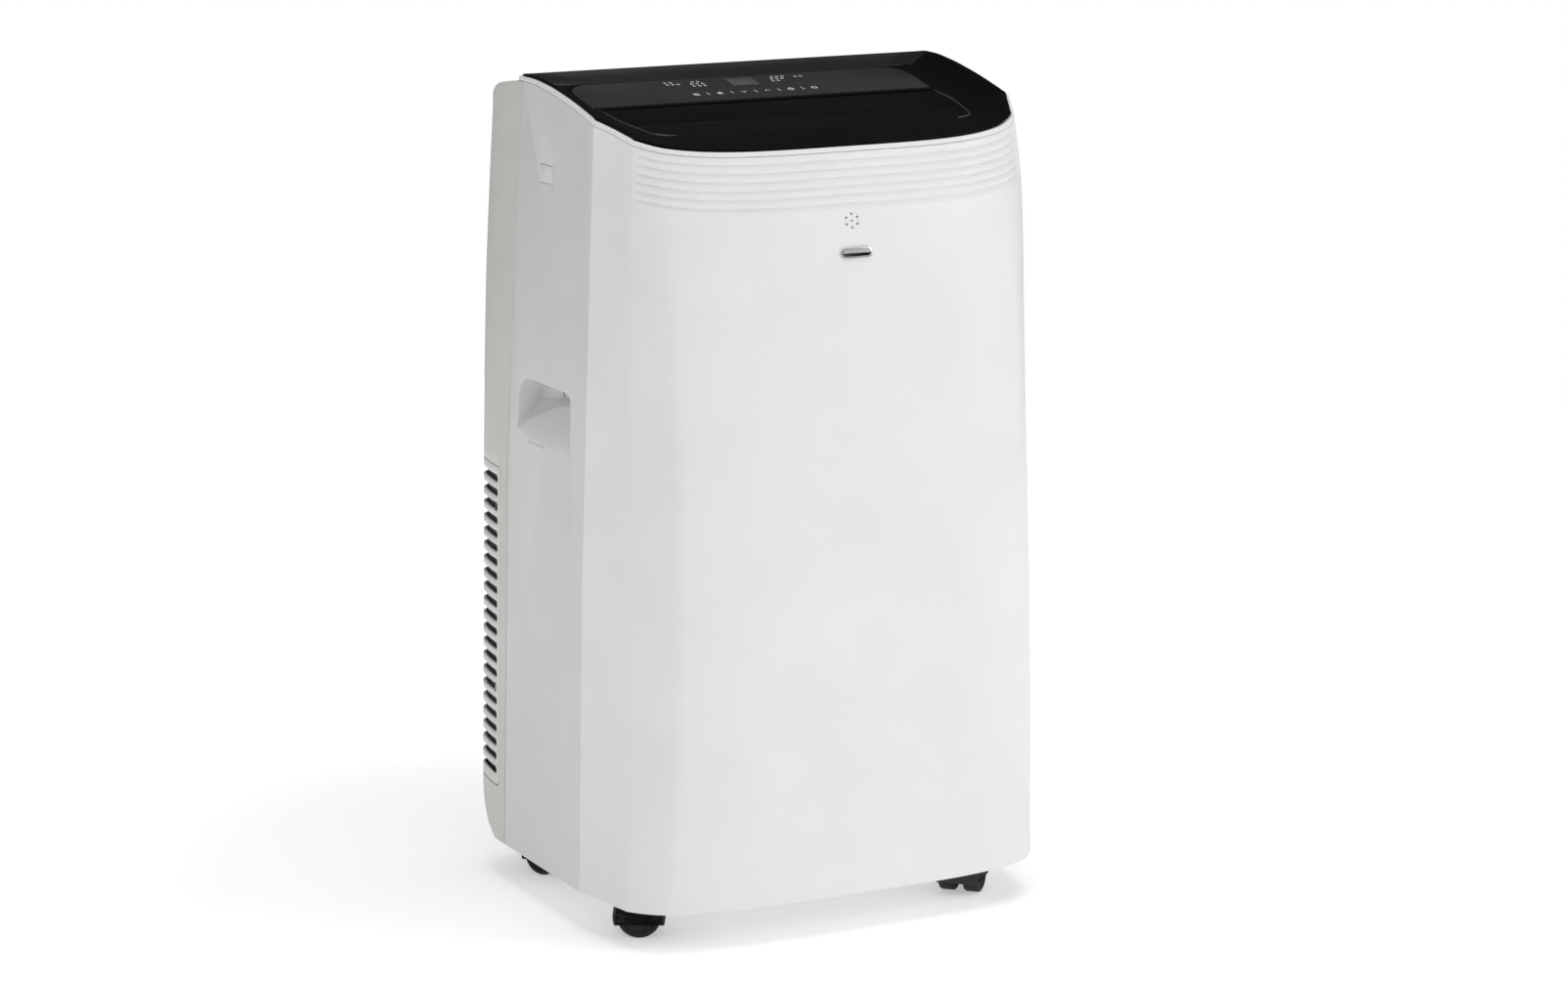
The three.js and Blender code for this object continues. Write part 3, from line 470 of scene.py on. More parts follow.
def moulded(name, low, high, roughness, grain=900, bump=0.15, metallic=0.0, specular=0.5, coat=0.0,
            mottle=14):
    """A moulded, painted or cast surface: slow colour drift, uneven gloss and a fine surface grain."""
    material = bpy.data.materials.new(name)
    material.use_nodes = True
    tree = material.node_tree
    shader = tree.nodes["Principled BSDF"]
    shader.inputs["Metallic"].default_value = metallic
    shader.inputs["Specular IOR Level"].default_value = specular
    shader.inputs["Coat Weight"].default_value = coat
    shader.inputs["Coat Roughness"].default_value = 0.08
    place = node(tree, "TexCoord")

    def noise(scale, detail):
        texture = node(tree, "TexNoise", Scale=scale, Detail=detail)
        tree.links.new(place.outputs["Object"], texture.inputs["Vector"])
        return texture.outputs["Fac"]

    ramp = node(tree, "ValToRGB")
    for element, position, colour in zip(ramp.color_ramp.elements, (0.3, 0.7), (low, high)):
        element.position = position
        element.color = (*colour, 1)
    tree.links.new(noise(mottle, 3), ramp.inputs["Fac"])
    tree.links.new(ramp.outputs["Color"], shader.inputs["Base Color"])

    gloss = node(tree, "MapRange", To_Min=roughness[0], To_Max=roughness[1])
    tree.links.new(noise(mottle * 4, 4), gloss.inputs["Value"])
    tree.links.new(gloss.outputs["Result"], shader.inputs["Roughness"])

    surface = node(tree, "Bump", Strength=bump, Distance=0.00012)
    tree.links.new(noise(grain, 2), surface.inputs["Height"])
    tree.links.new(surface.outputs["Normal"], shader.inputs["Normal"])
    return material


def node_of(tree, kind):
    return next(n for n in tree.nodes if n.type == kind)


def striped(name, dark, light, pitch, roughness, metallic):
    """Stacked fins or threads: fine bands across X, in colour and in relief; the dark bands are painted shade
    in the gaps between fins and between threads.
    """
    material = moulded(name, dark, light, roughness, metallic=metallic)
    tree = material.node_tree
    wave = node(tree, "TexWave", Scale=0.314 / pitch, Distortion=0.4)
    wave.bands_direction = "X"
    tree.links.new(node_of(tree, "TEX_COORD").outputs["Object"], wave.inputs["Vector"])
    surface = node_of(tree, "BUMP")
    surface.inputs["Strength"].default_value = 0.8
    surface.inputs["Distance"].default_value = 0.0006
    tree.links.new(wave.outputs["Fac"], node_of(tree, "VALTORGB").inputs["Fac"])
    tree.links.new(wave.outputs["Fac"], surface.inputs["Height"])
    return material


white = moulded("white_cover", (0.755, 0.755, 0.752), (0.785, 0.785, 0.783), (0.40, 0.50), bump=0.12)
# The side panels' white is darker than the front's as painted shade: the same white plastic, given the shade
# that falls on the sides.
shaded_side_white = moulded("side_white_painted_shade", (0.655, 0.652, 0.642), (0.680, 0.677, 0.668), (0.45, 0.55))
# The rear cover's white is darker than the front's as painted shade, where less light reaches the rear; its
# warmer tint is the cover's own.
rear_shaded_white = moulded("rear_shaded_white", (0.590, 0.582, 0.562), (0.620, 0.613, 0.594), (0.45, 0.55))
grille_white = moulded("grille_plastic", (0.640, 0.640, 0.618), (0.680, 0.680, 0.660), (0.45, 0.55))
satin_black = moulded("black_top", (0.0022, 0.0023, 0.0026), (0.0036, 0.0037, 0.0040), (0.34, 0.44),
                      grain=1400, bump=0.2, specular=0.05)
# A lighter copy of the black top for the rear bank: painted light where the overhead lamp falls on the bank.
lit_bank_black = moulded("lit_bank_black", (0.009, 0.0092, 0.0098), (0.014, 0.0142, 0.015), (0.32, 0.42),
                     grain=1400, bump=0.2, specular=0.15)
# A lighter black for the outlet's ridge beads and comb teeth: painted highlight along the outlet's edges.
highlight_black = moulded("highlight_black", (0.045, 0.046, 0.048), (0.065, 0.066, 0.069), (0.25, 0.35),
                      grain=1400, bump=0.1)
net_black = moulded("net_black", (0.020, 0.020, 0.019), (0.075, 0.075, 0.072), (0.6, 0.75),
                    grain=700, bump=0.4, specular=0.2)
gloss_black = moulded("black_gloss", (0.026, 0.0265, 0.028), (0.031, 0.0315, 0.033), (0.14, 0.20),
                      grain=300, bump=0.03, specular=0.2)
window_glass = moulded("window", (0.085, 0.087, 0.090), (0.095, 0.097, 0.100), (0.12, 0.18),
                       grain=500, bump=0.02, specular=0.3)
print_white = moulded("panel_print", (0.80, 0.81, 0.82), (0.88, 0.89, 0.90), (0.5, 0.6), grain=2000)
badge_metal = moulded("badge_metal", (0.52, 0.53, 0.55), (0.66, 0.67, 0.69), (0.18, 0.30),
                      metallic=1.0, grain=1600, bump=0.1, mottle=60)
caster_black = moulded("caster_black", (0.010, 0.010, 0.011), (0.020, 0.020, 0.021), (0.42, 0.60),
                       grain=1100, bump=0.3, specular=0.4, mottle=45)
tyre_black = moulded("tyre_black", (0.013, 0.013, 0.013), (0.030, 0.029, 0.028), (0.60, 0.80),
                     grain=1600, bump=0.4, specular=0.3, mottle=90)
inner_black = moulded("inner_black", (0.016, 0.017, 0.018), (0.028, 0.029, 0.031), (0.60, 0.80), bump=0.3)
inner_grey = moulded("inner_grey", (0.50, 0.50, 0.49), (0.60, 0.60, 0.585), (0.45, 0.60), bump=0.25)
motor_steel = moulded("motor_steel", (0.42, 0.43, 0.44), (0.58, 0.59, 0.60), (0.28, 0.45),
                      metallic=1.0, grain=1200, bump=0.2, mottle=80)
vessel_black = moulded("vessel_black", (0.012, 0.013, 0.014), (0.026, 0.027, 0.029), (0.25, 0.45),
                       grain=500, bump=0.35, coat=0.3, mottle=40)
fins = striped("fin_aluminium", (0.25, 0.26, 0.27), (0.62, 0.64, 0.66), 0.0018, (0.30, 0.45), 1.0)
copper = moulded("copper_pipe", (0.48, 0.19, 0.09), (0.66, 0.30, 0.15), (0.22, 0.42), metallic=1.0,
                 grain=700, bump=0.1, mottle=70)
board_green = moulded("board_green", (0.008, 0.050, 0.022), (0.014, 0.085, 0.038), (0.35, 0.55),
                      grain=400, bump=0.3, mottle=120)
thread_black = striped("filter_net", (0.008, 0.009, 0.010), (0.045, 0.047, 0.050), 0.0016, (0.6, 0.8), 0.0)


# -------- outline columns
CROWN = [(crown, t) for t in steps(26)]
CORNER = [(corner, t) for t in (*steps(14, 1)[:-1], 0.965, 1)]
SLAB = [(slab, t) for t in (0.05, 0.2, 0.5, 0.8, 0.96, 1)]
FRONT_PLACES = CROWN + CORNER + SLAB


# -------- front cover with its grooves
GROOVES = 6
GROOVE_PITCH = 7.5
GROOVE_TOP = 5  # the first step, under the cover's upper edge
GROOVE_STEP = 1.7
GROOVE_DEPTH = 2.1
GROOVE_END = 52


def groove_rows():
    """[distance under the upper edge, depth] down the grooved band, from the rolled edge."""
    rows = [(0, 0.7), (1.4, 0.5), (3.2, 0.25)]
    for k in range(GROOVES):
        top = GROOVE_TOP + GROOVE_PITCH * k
        rise = (GROOVE_PITCH - GROOVE_STEP) / 3
        rows += [(top, 0), (top + GROOVE_STEP, GROOVE_DEPTH)]
        if k < GROOVES - 1:
            rows += [(top + GROOVE_STEP + rise * j, GROOVE_DEPTH * (1 - j / 3)) for j in (1, 2)]
    last = rows[-1][0]
    return rows + [(lerp(last, GROOVE_END, t), GROOVE_DEPTH * (1 + math.cos(math.pi * t)) / 2)
                   for t in steps(6, 1)]


def groove_share(stretch, t):
    """How deep the grooves are along the outline: full on the front, none on the slabs beside it."""
    if stretch is crown:
        return 1
    if stretch is slab:
        return 0
    fade = min(1, max(0, (0.93 - t) / 0.14))
    return fade * fade * (3 - 2 * fade)


def front_column(stretch, t, outer):
    """A column of the front cover: its outer face with the grooves, or its plain inner face."""
    top = solve_height(stretch, t, roof_height)
    share = groove_share(stretch, t)
    low = top - GROOVE_END
    rows = [(lerp(SKIRT_Z, low, v), 0) for v in (0, 0.004, *steps(44, 1)[:-1])]
    rows += [(top - under, depth * share) for under, depth in reversed(groove_rows())]
    return [(*inset(stretch, t, z, depth if outer else WALL), z) for z, depth in rows]


SIGNAL_Z = 649
SIGNAL_RING = 6
SIGNAL_SPOTS = [(0, 0), *arc((0, 0), SIGNAL_RING, 90, 300, 5)]


def front_skin(outer):
    right = [front_column(stretch, t, outer) for stretch, t in FRONT_PLACES]
    return flipped(right)[:0:-1] + right


front = walled("front_cover_skin", front_skin(True), front_skin(False))
cut(front, merged("holes", [bore((x, SIGNAL_Z + z), 1, 16, -175, -150) for x, z in SIGNAL_SPOTS]))
soften(front, 0.4)
finish_piece(front, white, ["front_cover"])


# -------- badge
BADGE_Z = 621
BADGE_LEAN = math.atan2(along(FRONT_LINE, 630) - along(FRONT_LINE, 600), 30)

BADGE_PLACE = (Matrix.Translation(Vector((2, along(FRONT_LINE, BADGE_Z), BADGE_Z)) * MM)
               @ Matrix.Rotation(-BADGE_LEAN, 4, "X"))


def pill(name, half_long, half_high, low, high):
    """A plate with round ends, along Y."""
    radius = half_high - 0.01
    outline = rounded((-half_long, half_long), (-half_high, half_high), radius, radius, 12)
    return prism(name, outline, low, high, along_y)


badge = pill("badge_plate", 15.5, 5, -1.5, 0.1)
soften(badge, 0.45, 3)
cut(badge, pill("badge_groove", 13.2, 2.9, -1.6, -1.25))
finish_piece(moved(badge, BADGE_PLACE), badge_metal, ["badge"])
badge_field = pill("badge_field", 13, 2.7, -1.4, -1.2)
finish_piece(moved(badge_field, BADGE_PLACE), motor_steel)


# -------- side panels with hand recesses
HANDLE_Y = (-33.5, 81)
HANDLE_Z = (439.5, 489)
HANDLE_DEPTH = 24.5
HANDLE_WALL = 2.5
HANDLE_RAMP = 0.38
RAMP_START = ((0.06, -7), (-0.35, -3), (-1.1, 0.5), (-2.2, 4.8))  # [outwards, up] where the wall runs in
CAP_Y = (9, 35)
CAP_Z = (672, 688)


def crease_height(y):
    """Where the recess's ramp ends and its steep floor begins."""
    return 472 - 32 * ((max(y, -5) + 5) / 86) ** 1.6


def pocket_floor(y):
    return 464.5 + 0.172 * (HANDLE_Y[1] - y)


def hand_recess(side, grow):
    """The recess of one side (1 right, -1 left), grown outwards."""
    front_y, rear_y, top = HANDLE_Y[0] - grow, HANDLE_Y[1] + grow, HANDLE_Z[1] + grow
    face = [(front_y, 400), (rear_y, 400), *arc((rear_y - 21, top - 21), 21, 0, 90, 14),
            *arc((front_y + 9, top - 9), 9, 90, 90, 8)]
    rings = []
    for y in [lerp(-45, 90, t) for t in steps(30)]:
        at = min(max(y, HANDLE_Y[0]), HANDLE_Y[1])
        low, crease = HANDLE_Z[0] - grow, max(crease_height(at), HANDLE_Z[0] + 0.5)
        ease = min(1, (crease - HANDLE_Z[0] + 0.3) / 14)
        run_in = [(out * ease, low + rise * ease) for out, rise in RAMP_START]
        section = [(20, low - 12), *run_in, (-HANDLE_RAMP * (crease - HANDLE_Z[0]) - grow, crease),
                   (-HANDLE_DEPTH - grow, pocket_floor(at)), (-HANDLE_DEPTH - grow, top), (20, top)]
        rings.append([(side * (half_width(z) + out), y, z) for out, z in section])
    space = loft("recess", rings)
    return combine(space, prism("face", face, -300, 300, along_x), "INTERSECT")


def on_side(side, y, z, deep, proud, name, radius):
    """A rounded plate lying on the leaning side wall."""
    plate = prism(name, rounded(y, z, radius, radius, 5), -deep, proud, along_x)
    level = (z[0] + z[1]) / 2
    turn = Matrix.Rotation(-math.atan(SIDE_DRAFT), 4, "Y")
    back_down = Matrix.Translation(Vector((0, 0, -level)) * MM)
    out = Matrix.Translation(Vector((half_width(level), 0, level)) * MM)
    mirror = Matrix.Scale(side, 4, (1, 0, 0))
    moved(plate, mirror @ out @ turn @ back_down)
    if side < 0:
        plate.data.flip_normals()
    return plate


def side_outline():
    """The panel's edge as [y, height], from the lower front corner round to the upper front one."""
    def seam_front(z):
        return straight(FRONT_SEAM, z) + SEAM

    def seam_rear(z):
        return straight(REAR_SEAM, z) - SEAM

    def top_at(y):
        return along(TOP_EDGE, y) - COVER_DROP

    rear_top = top_at(75.5)
    front_top = top_at(-77.5)
    heights = (SKIRT_Z, 150, 250, 321, 400, 499, 600, 653, 700)
    rear_edge = [(seam_rear(z), z) for z in (*heights, rear_top)]
    top_edge = [(y, top_at(y)) for y in [lerp(72, -75, t) for t in steps(24)]]
    front_edge = [(seam_front(z), z) for z in (front_top, *reversed(heights))]
    return [*rear_edge, *top_edge, *front_edge]


def side_point(side, depth_in):
    return lambda y, z, depth: (side * (half_width(z) - lerp(0, depth_in, depth)), y, z)


for side, name in ((-1, "left"), (1, "right")):
    panel = prism(f"{name}_panel_skin", side_outline(), 0, 1, side_point(side, WALL))
    cup = hand_recess(side, HANDLE_WALL)
    outer = prism("outer", side_outline(), 0, 1, side_point(side, 60))
    add(panel, combine(cup, outer, "INTERSECT"))
    cut(panel, hand_recess(side, 0))
    cut(panel, on_side(side, (CAP_Y[0] - 0.35, CAP_Y[1] + 0.35), (CAP_Z[0] - 0.35, CAP_Z[1] + 0.35),
                       1.8, 5, "seat", 0.8))
    soften(panel, 0.9, 3, 30)
    # The panel takes the darker white: painted shade on the side.
    finish_piece(panel, shaded_side_white, [f"{name}_side_panel"], angle=20)
    cap = on_side(side, CAP_Y, CAP_Z, 1.5, 0.1, f"{name}_cap_plate", 0.6)
    soften(cap, 0.25)
    finish_piece(cap, shaded_side_white, [f"{name}_side_cap"])
    deep = half_width(477) - HANDLE_DEPTH
    # A thin dark patch on the recess's deep wall: painted shadow in the gap there.
    shadow_patch = prism(f"{name}_recess_painted_shadow", [(31, 473.5), (32.4, 473), (37.6, 481), (36.2, 481.5)],
                 side * (deep - 0.35), side * (deep + 0.2), along_x)
    finish_piece(shadow_patch, inner_black)


# -------- rear cover
GRILLE_Z = (88, 394.5)
GRILLE_Y = 123
UPPER_X = 150
UPPER_Z = (578, 712)
REAR_FACE = cad_box[1].y / MM
EXHAUST_Z = middle("exhaust_collar", 2)
EXHAUST_R = 70
COLLAR_WALL = 6
DRAIN_R = 11
GLAND_R = 9
DRAINS = {name: (middle(name, 0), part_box(name)[1].y / MM, middle(name, 2))
          for name in ("lower_drain_cap", "upper_drain_cap")}
GLAND_X, GLAND_Z = middle("cord_gland", 0), middle("cord_gland", 2)
ROOF_ROLL = 9

SHOULDER = [(shoulder, t) for t in (0, 0.04, 0.14, 0.235, 0.4, 0.6, 0.8, 1)]
REAR_CORNER = [(stretch, t) for stretch in (bend, rear_corner) for t in steps(12, 1)]
BACK = [(back, t) for t in steps(14, 1)]
ROOF_START = 3  # the column of SHOULDER where the roof begins


def wall_column(stretch, t, low, high, rows, by=0):
    """A column of points on the outline, or inside it by some mm."""
    return [(*inset(stretch, t, z, by), z) for z in (lerp(low, high, v) for v in steps(rows))]


def roofed_shell():
    """The rear cover's outer skin: its wall from seam to seam, and the roof that closes it."""
    columns = [wall_column(s, t, SKIRT_Z, solve_height(s, t, roof_height), 70)
               for s, t in SHOULDER + REAR_CORNER + BACK]
    wall = sheet("rear_cover_skin", columns + flipped(columns[:-1])[::-1])
    tall, total = len(columns[0]), 2 * len(columns) - 1
    sides = len(SHOULDER + REAR_CORNER)
    with editing(wall.data) as form:
        form.verts.ensure_lookup_table()
        rim = [form.verts[c * tall + tall - 1] for c in range(total)]
        add_roof(form, rim, sides)
        bmesh.ops.recalc_face_normals(form, faces=form.faces)
        form.edges.ensure_lookup_table()
        roof_rim = rim[ROOF_START:total - ROOF_START]
        rolled = [e for e in form.edges if e.verts[0] in roof_rim and e.verts[1] in roof_rim
                  and len(e.link_faces) == 2 and e.calc_face_angle() > math.radians(12)]
        bmesh.ops.bevel(form, geom=rolled, offset=ROOF_ROLL * MM, segments=7, profile=0.5, affect="EDGES",
                        clamp_overlap=True)
        form.normal_update()
        top = max(form.faces, key=lambda face: face.calc_center_median().z)
        if top.normal.z < 0:
            bmesh.ops.reverse_faces(form, faces=form.faces)
    return wall


def add_roof(form, rim, sides):
    """Rows of faces from side to side, from the roof's front edge back to the wall's rear edge."""
    rear_row = rim[sides - 1:len(rim) - sides + 1]
    count = len(rear_row)
    rows = []
    for k in range(ROOF_START, sides - 1):
        a, b = rim[k], rim[len(rim) - 1 - k]
        rows.append([a, *(form.verts.new(a.co.lerp(b.co, j / (count - 1))) for j in range(1, count - 1)), b])
    rows.append(rear_row)
    for near, far in zip(rows, rows[1:]):
        for j in range(count - 1):
            form.faces.new((near[j], far[j], far[j + 1], near[j + 1]))


def grille_edge(clearance):
    """The lower grille's edge in side view, [y, height], with rounded front corners."""
    y, low, high = GRILLE_Y + clearance, GRILLE_Z[0] + clearance, GRILLE_Z[1] - clearance
    return [(400, low), (400, high),
            *arc((y + 6, high - 6), 6, 90, 90, 6), *arc((y + 6, low + 6), 6, 180, 90, 6)]


rear = roofed_shell()
thicken(rear, WALL)
cut(rear, prism("opening", grille_edge(0), -300, 300, along_x))
cut(rear, block("opening", (-UPPER_X, UPPER_X), (100, 260), UPPER_Z))
FILTER_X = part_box("air_filter")[1].x / MM + 1
FILTER_Y = [edge.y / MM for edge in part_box("air_filter")]
rear_holes = [bore((0, EXHAUST_Z), EXHAUST_R + COLLAR_WALL + 0.4, 72, 150, 260),
              *(bore((x, z), DRAIN_R + 0.4, 40, 150, 260) for x, _, z in DRAINS.values()),
              bore((GLAND_X, GLAND_Z), GLAND_R + 0.4, 40, 150, 260),
              block("hole", (-FILTER_X, FILTER_X), (FILTER_Y[0] - 1, FILTER_Y[1] + 1), (725, 780))]
cut(rear, merged("holes", rear_holes))
soften(rear, 0.45)
# The rear cover takes the darker white: painted shade on the rear.
finish_piece(rear, rear_shaded_white, ["rear_cover"])


# -------- wrap-round lower grille
SLOT_START = 99
SLOT_PITCH = 13.3
SLOT_HIGH = 7
SLOT_COUNT = 22
SLOT_FRONT = 129.5


def rear_band(name, low, high, rows, starts, by=0):
    """A stretch of the rear wall between two heights, or a lining inside it."""
    places = [(shoulder, t) for t in starts] + REAR_CORNER + BACK
    right = [wall_column(s, t, low, high, rows, by) for s, t in places]
    return sheet(name, right + flipped(right[:-1])[::-1])


lower = rear_band("lower_grille_skin", GRILLE_Z[0] - 4, GRILLE_Z[1] + 4, 40, (0.6, 0.8, 1))
thicken(lower, WALL)
combine(lower, prism("edge", grille_edge(0.9), -300, 300, along_x), "INTERSECT")
slots = []
for k in range(SLOT_COUNT):
    low = SLOT_START + SLOT_PITCH * k
    high = low + SLOT_HIGH
    radius = SLOT_HIGH / 2 - 0.01
    shape = [(400, low), (400, high), *arc((SLOT_FRONT + radius, high - radius), radius, 90, 90, 6),
             *arc((SLOT_FRONT + radius, low + radius), radius, 180, 90, 6)]
    slots.append(prism("slot", shape, -300, 300, along_x))
cut(lower, merged("slots", slots))
soften(lower, 0.9, 2, 40)
finish_piece(lower, grille_white, ["lower_grille"])

backing = rear_band("grille_net", GRILLE_Z[0] - 5, GRILLE_Z[1] + 5, 16, (0.75, 0.88, 1), 4.2)
thicken(backing, 0.8)
finish_piece(backing, net_black)
bars = merged("lower_grille_bars", [block("bar", (x - 3, x + 3), (184.4, 191.2), (92, 390))
                                    for x in (-110, 0, 110)])
soften(bars, 0.6)
finish_piece(bars, grille_white)


# -------- upper grille in front of the filter
def centre_band(name, half, low, high):
    """A stretch of the rear wall between two x positions, bulged like the wall itself."""
    xs = [lerp(half, -half, t) for t in steps(12)]
    zs = [lerp(low, high, v) for v in steps(24)]
    return sheet(name, [[(x, along(REAR_LINE, z), z) for z in zs] for x in xs])


upper = centre_band("upper_grille_skin", UPPER_X - 0.5, UPPER_Z[0] + 0.5, UPPER_Z[1] - 0.5)
thicken(upper, WALL)
upper_slots = []
for z in (589 + 13 * k for k in range(9)):
    half, radius = UPPER_X - 10, SLOT_HIGH / 2
    shape = [*arc((half - radius, z + radius), radius - 0.01, -90, 180, 10),
             *arc((radius - half, z + radius), radius - 0.01, 90, 180, 10)]
    upper_slots.append(prism("slot", shape, 120, 260, along_y))
cut(upper, merged("slots", upper_slots))
soften(upper, 0.8, 2, 40)
finish_piece(upper, grille_white, ["upper_grille"])
bar_line = [(along(REAR_LINE, z) - 3.1, z) for z in (580, 615, 645, 680, 710)]
upper_bars = merged("upper_grille_bars", [
    sheet("bar", [[(x, y, z) for y, z in bar_line] for x in (centre_x + 3, centre_x - 3)])
    for centre_x in (-50, 50)])
thicken(upper_bars, 2.4)
soften(upper_bars, 0.5)
finish_piece(upper_bars, grille_white)


# -------- hose collar, drain plugs, cord gland
COLLAR_FRONT = REAR_FACE - 33

outer_r = EXHAUST_R + COLLAR_WALL
collar = turned("exhaust_collar_ring", [(EXHAUST_R, 0.4), (outer_r, 0), (outer_r, 31.5), (outer_r - 1.5, 33),
                                        (EXHAUST_R + 2.5, 33), (EXHAUST_R, 30)], 96)
lugs = [moved(block("lug", (EXHAUST_R - 3, EXHAUST_R + 2), (-7, 7), (20, 24)),
              Matrix.Rotation(math.radians(45 + 90 * k), 4, "Z")) for k in range(4)]
add(collar, merged("lugs", lugs))
placed(collar, (0, COLLAR_FRONT, EXHAUST_Z), (0, 1, 0))
soften(collar, 0.4)
finish_piece(collar, grille_white, ["exhaust_collar"])

for name, (x, rear_y, z) in DRAINS.items():
    plug = turned(f"{name}_plug", [(0, -5), (DRAIN_R - 0.6, -5), (DRAIN_R, -4.4), (DRAIN_R, -3.6),
                                   (DRAIN_R - 0.8, -3), (DRAIN_R - 2.6, -3), (DRAIN_R - 3.2, -3.6),
                                   (0, -3.6)], 64)
    grip = prism("grip", rounded((-7, 7), (-1.5, 1.5), 1.4, 1.4, 6), -4.2, 0, along_z)
    add(plug, grip)
    placed(plug, (x, rear_y, z), (0, 1, 0))
    soften(plug, 0.3)
    finish_piece(plug, grille_white, [name], body=name)

gland_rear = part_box("cord_gland")[1].y / MM
gland_profile = [(4.5, -12), (GLAND_R, -12), (GLAND_R, -3.2), (GLAND_R - 0.6, -2.6), (7.6, -2.4), (7, 0),
                 (5.1, 0), (4.5, -0.6)]
gland = placed(turned("cord_gland_sleeve", gland_profile, 56), (GLAND_X, gland_rear, GLAND_Z), (0, 1, 0))
soften(gland, 0.2)
finish_piece(gland, caster_black, ["cord_gland"])


# -------- white rim under the black top
FLANGE = 1.8
RIM_TOP = 2.1
RIM_LOW = 6.2
RIM_WIDTH = 6


def rim_ring():
    """Corners of the rim's section along half its outline, from the front centre to the rear centre."""
    sections = []
    for stretch, t in FRONT_PLACES + [(flank, t) for t in steps(22, 1)]:
        z = solve_height(stretch, t, lambda y: along(TOP_EDGE, y) - RIM_LOW)
        (ox, oy), (ix, iy) = inset(stretch, t, z, 0), inset(stretch, t, z, RIM_WIDTH)
        edge = along(TOP_EDGE, oy)
        sections.append([(ox, oy, edge - RIM_LOW), (ox, oy, edge - RIM_TOP),
                         (ix, iy, edge - RIM_TOP), (ix, iy, edge - RIM_LOW)])
    w = half_width(760)
    level = TOP_EDGE[-1][1]
    for x in (w, w * 0.6, w * 0.3, 0):
        inner_x = min(x, w - RIM_WIDTH)
        sections.append([(x, RIM_BACK_Y, level - RIM_LOW), (x, RIM_BACK_Y, level - RIM_TOP),
                         (inner_x, CREST_Y, level - RIM_TOP), (inner_x, CREST_Y, level - RIM_LOW)])
    return sections


def ring_mesh(name, sections):
    """A closed ring from right-hand sections and their mirror images."""
    ring = sections + flipped(sections[1:-1])[::-1]
    n, k = len(ring), len(sections[0])
    faces = [(i * k + j, (i + 1) % n * k + j, (i + 1) % n * k + (j + 1) % k, i * k + (j + 1) % k)
             for i in range(n) for j in range(k)]
    return make(name, [p for section in ring for p in section], faces, closed=True)


rim = ring_mesh("top_rim_band", rim_ring())
soften(rim, 0.7, 3, 50)
finish_piece(rim, white, ["top_rim"], angle=40)


# -------- dished black top
DISH_SLOPE = 0.132
DISH_ZERO = 738.8
STRIP_SLOPE = 0.213
STRIP_Y = 5
STRIP_Z = 739.5
STRIP_HALF = 172
STRIP_DEEP = 62
STRIP_THICK = 2
DISH_HALF = 173.5
OUTLET_HALF = 169
DISH_REAR = 66.5
BREAK_Y = -118  # front edge of the dish floor on the centre line
TOP_INSET = 0.6
SIDE_INSET = 2.8
FLANGE_WIDE = 3.5
DOOR_X = 168
DOOR_FRONT = -65.9
DOOR_BACK = -6.8
DOOR_THICK = 3
COMB_HALF = 108
COMB_PITCH = 2.4
SWEEP = (0.03, 0.08, 0.16, 0.28, 0.42, 0.56, 0.7, 0.82, 0.92, 1)  # places up the dish's banks
# Half the width of the flat round the outlet, [y, x]
OUTLET_LINE = [[-60, 166.5], [-40, OUTLET_HALF], [-8, OUTLET_HALF], [8, DISH_HALF], [70, DISH_HALF]]


def dish_at(y):
    return DISH_ZERO + DISH_SLOPE * y if y < STRIP_Y else STRIP_Z + STRIP_SLOPE * (y - STRIP_Y)


def dish_edge(stretch, t):
    """Where the floor of the dish ends, inwards of a place on the outline."""
    if stretch is crown:
        return 146 * t, BREAK_Y + 15 * t * t
    if stretch is corner:
        return quadratic((146, -103), (158, -100), (160.5, -88), t)
    if stretch is slab:
        return lerp(160.5, 166.5, t), lerp(-88, -60, t)
    y = lerp(-60, DISH_REAR, t)
    return along(OUTLET_LINE, y), y


def cheek(stretch, t):
    """Points from the floor's edge up or down to the top's outer edge."""
    z = solve_height(stretch, t, lambda y: along(TOP_EDGE, y))
    flat = {crown: 0.9, corner: lerp(0.9, FLANGE_WIDE, t)}.get(stretch, FLANGE_WIDE)
    curl = {crown: 1, corner: lerp(1, 1.6, t)}.get(stretch, 1.6)
    edge = {crown: TOP_INSET, corner: lerp(TOP_INSET, SIDE_INSET, t)}.get(stretch, SIDE_INSET)
    if stretch is flank:
        edge = lerp(SIDE_INSET, TOP_INSET, t**3)
    outer, shelf = inset(stretch, t, z, edge), inset(stretch, t, z, edge + flat)
    qx, qy = dish_edge(stretch, t)
    low, high = dish_at(qy), along(TOP_EDGE, shelf.y)
    points = [(qx, qy, low)]
    for u in SWEEP:
        points.append((lerp(qx, shelf.x, u), lerp(qy, shelf.y, u), lerp(low, high, u**curl)))
    return points + [(p.x, p.y, along(TOP_EDGE, p.y)) for p in (shelf.lerp(outer, 0.4), outer)]


def rear_bank(t):
    """The steep bank behind the strip, from the floor's rear edge up to the crest."""
    x_floor, x_crest = DISH_HALF * (1 - t), (half_width(760) - TOP_INSET) * (1 - t)
    low, high = dish_at(DISH_REAR), TOP_EDGE[-1][1]
    points = [(x_floor, DISH_REAR, low)]
    for u in SWEEP:
        rise = math.sin(u * math.pi / 2) if u > 0.5 else u * math.sqrt(2)
        rise = lerp(u, rise, 0.35)
        points.append((lerp(x_floor, x_crest, u), lerp(DISH_REAR, CREST_Y - 2.2, u), lerp(low, high, rise)))
    return points + [(x_crest, CREST_Y - back_off, high) for back_off in (1.4, 0.6)]


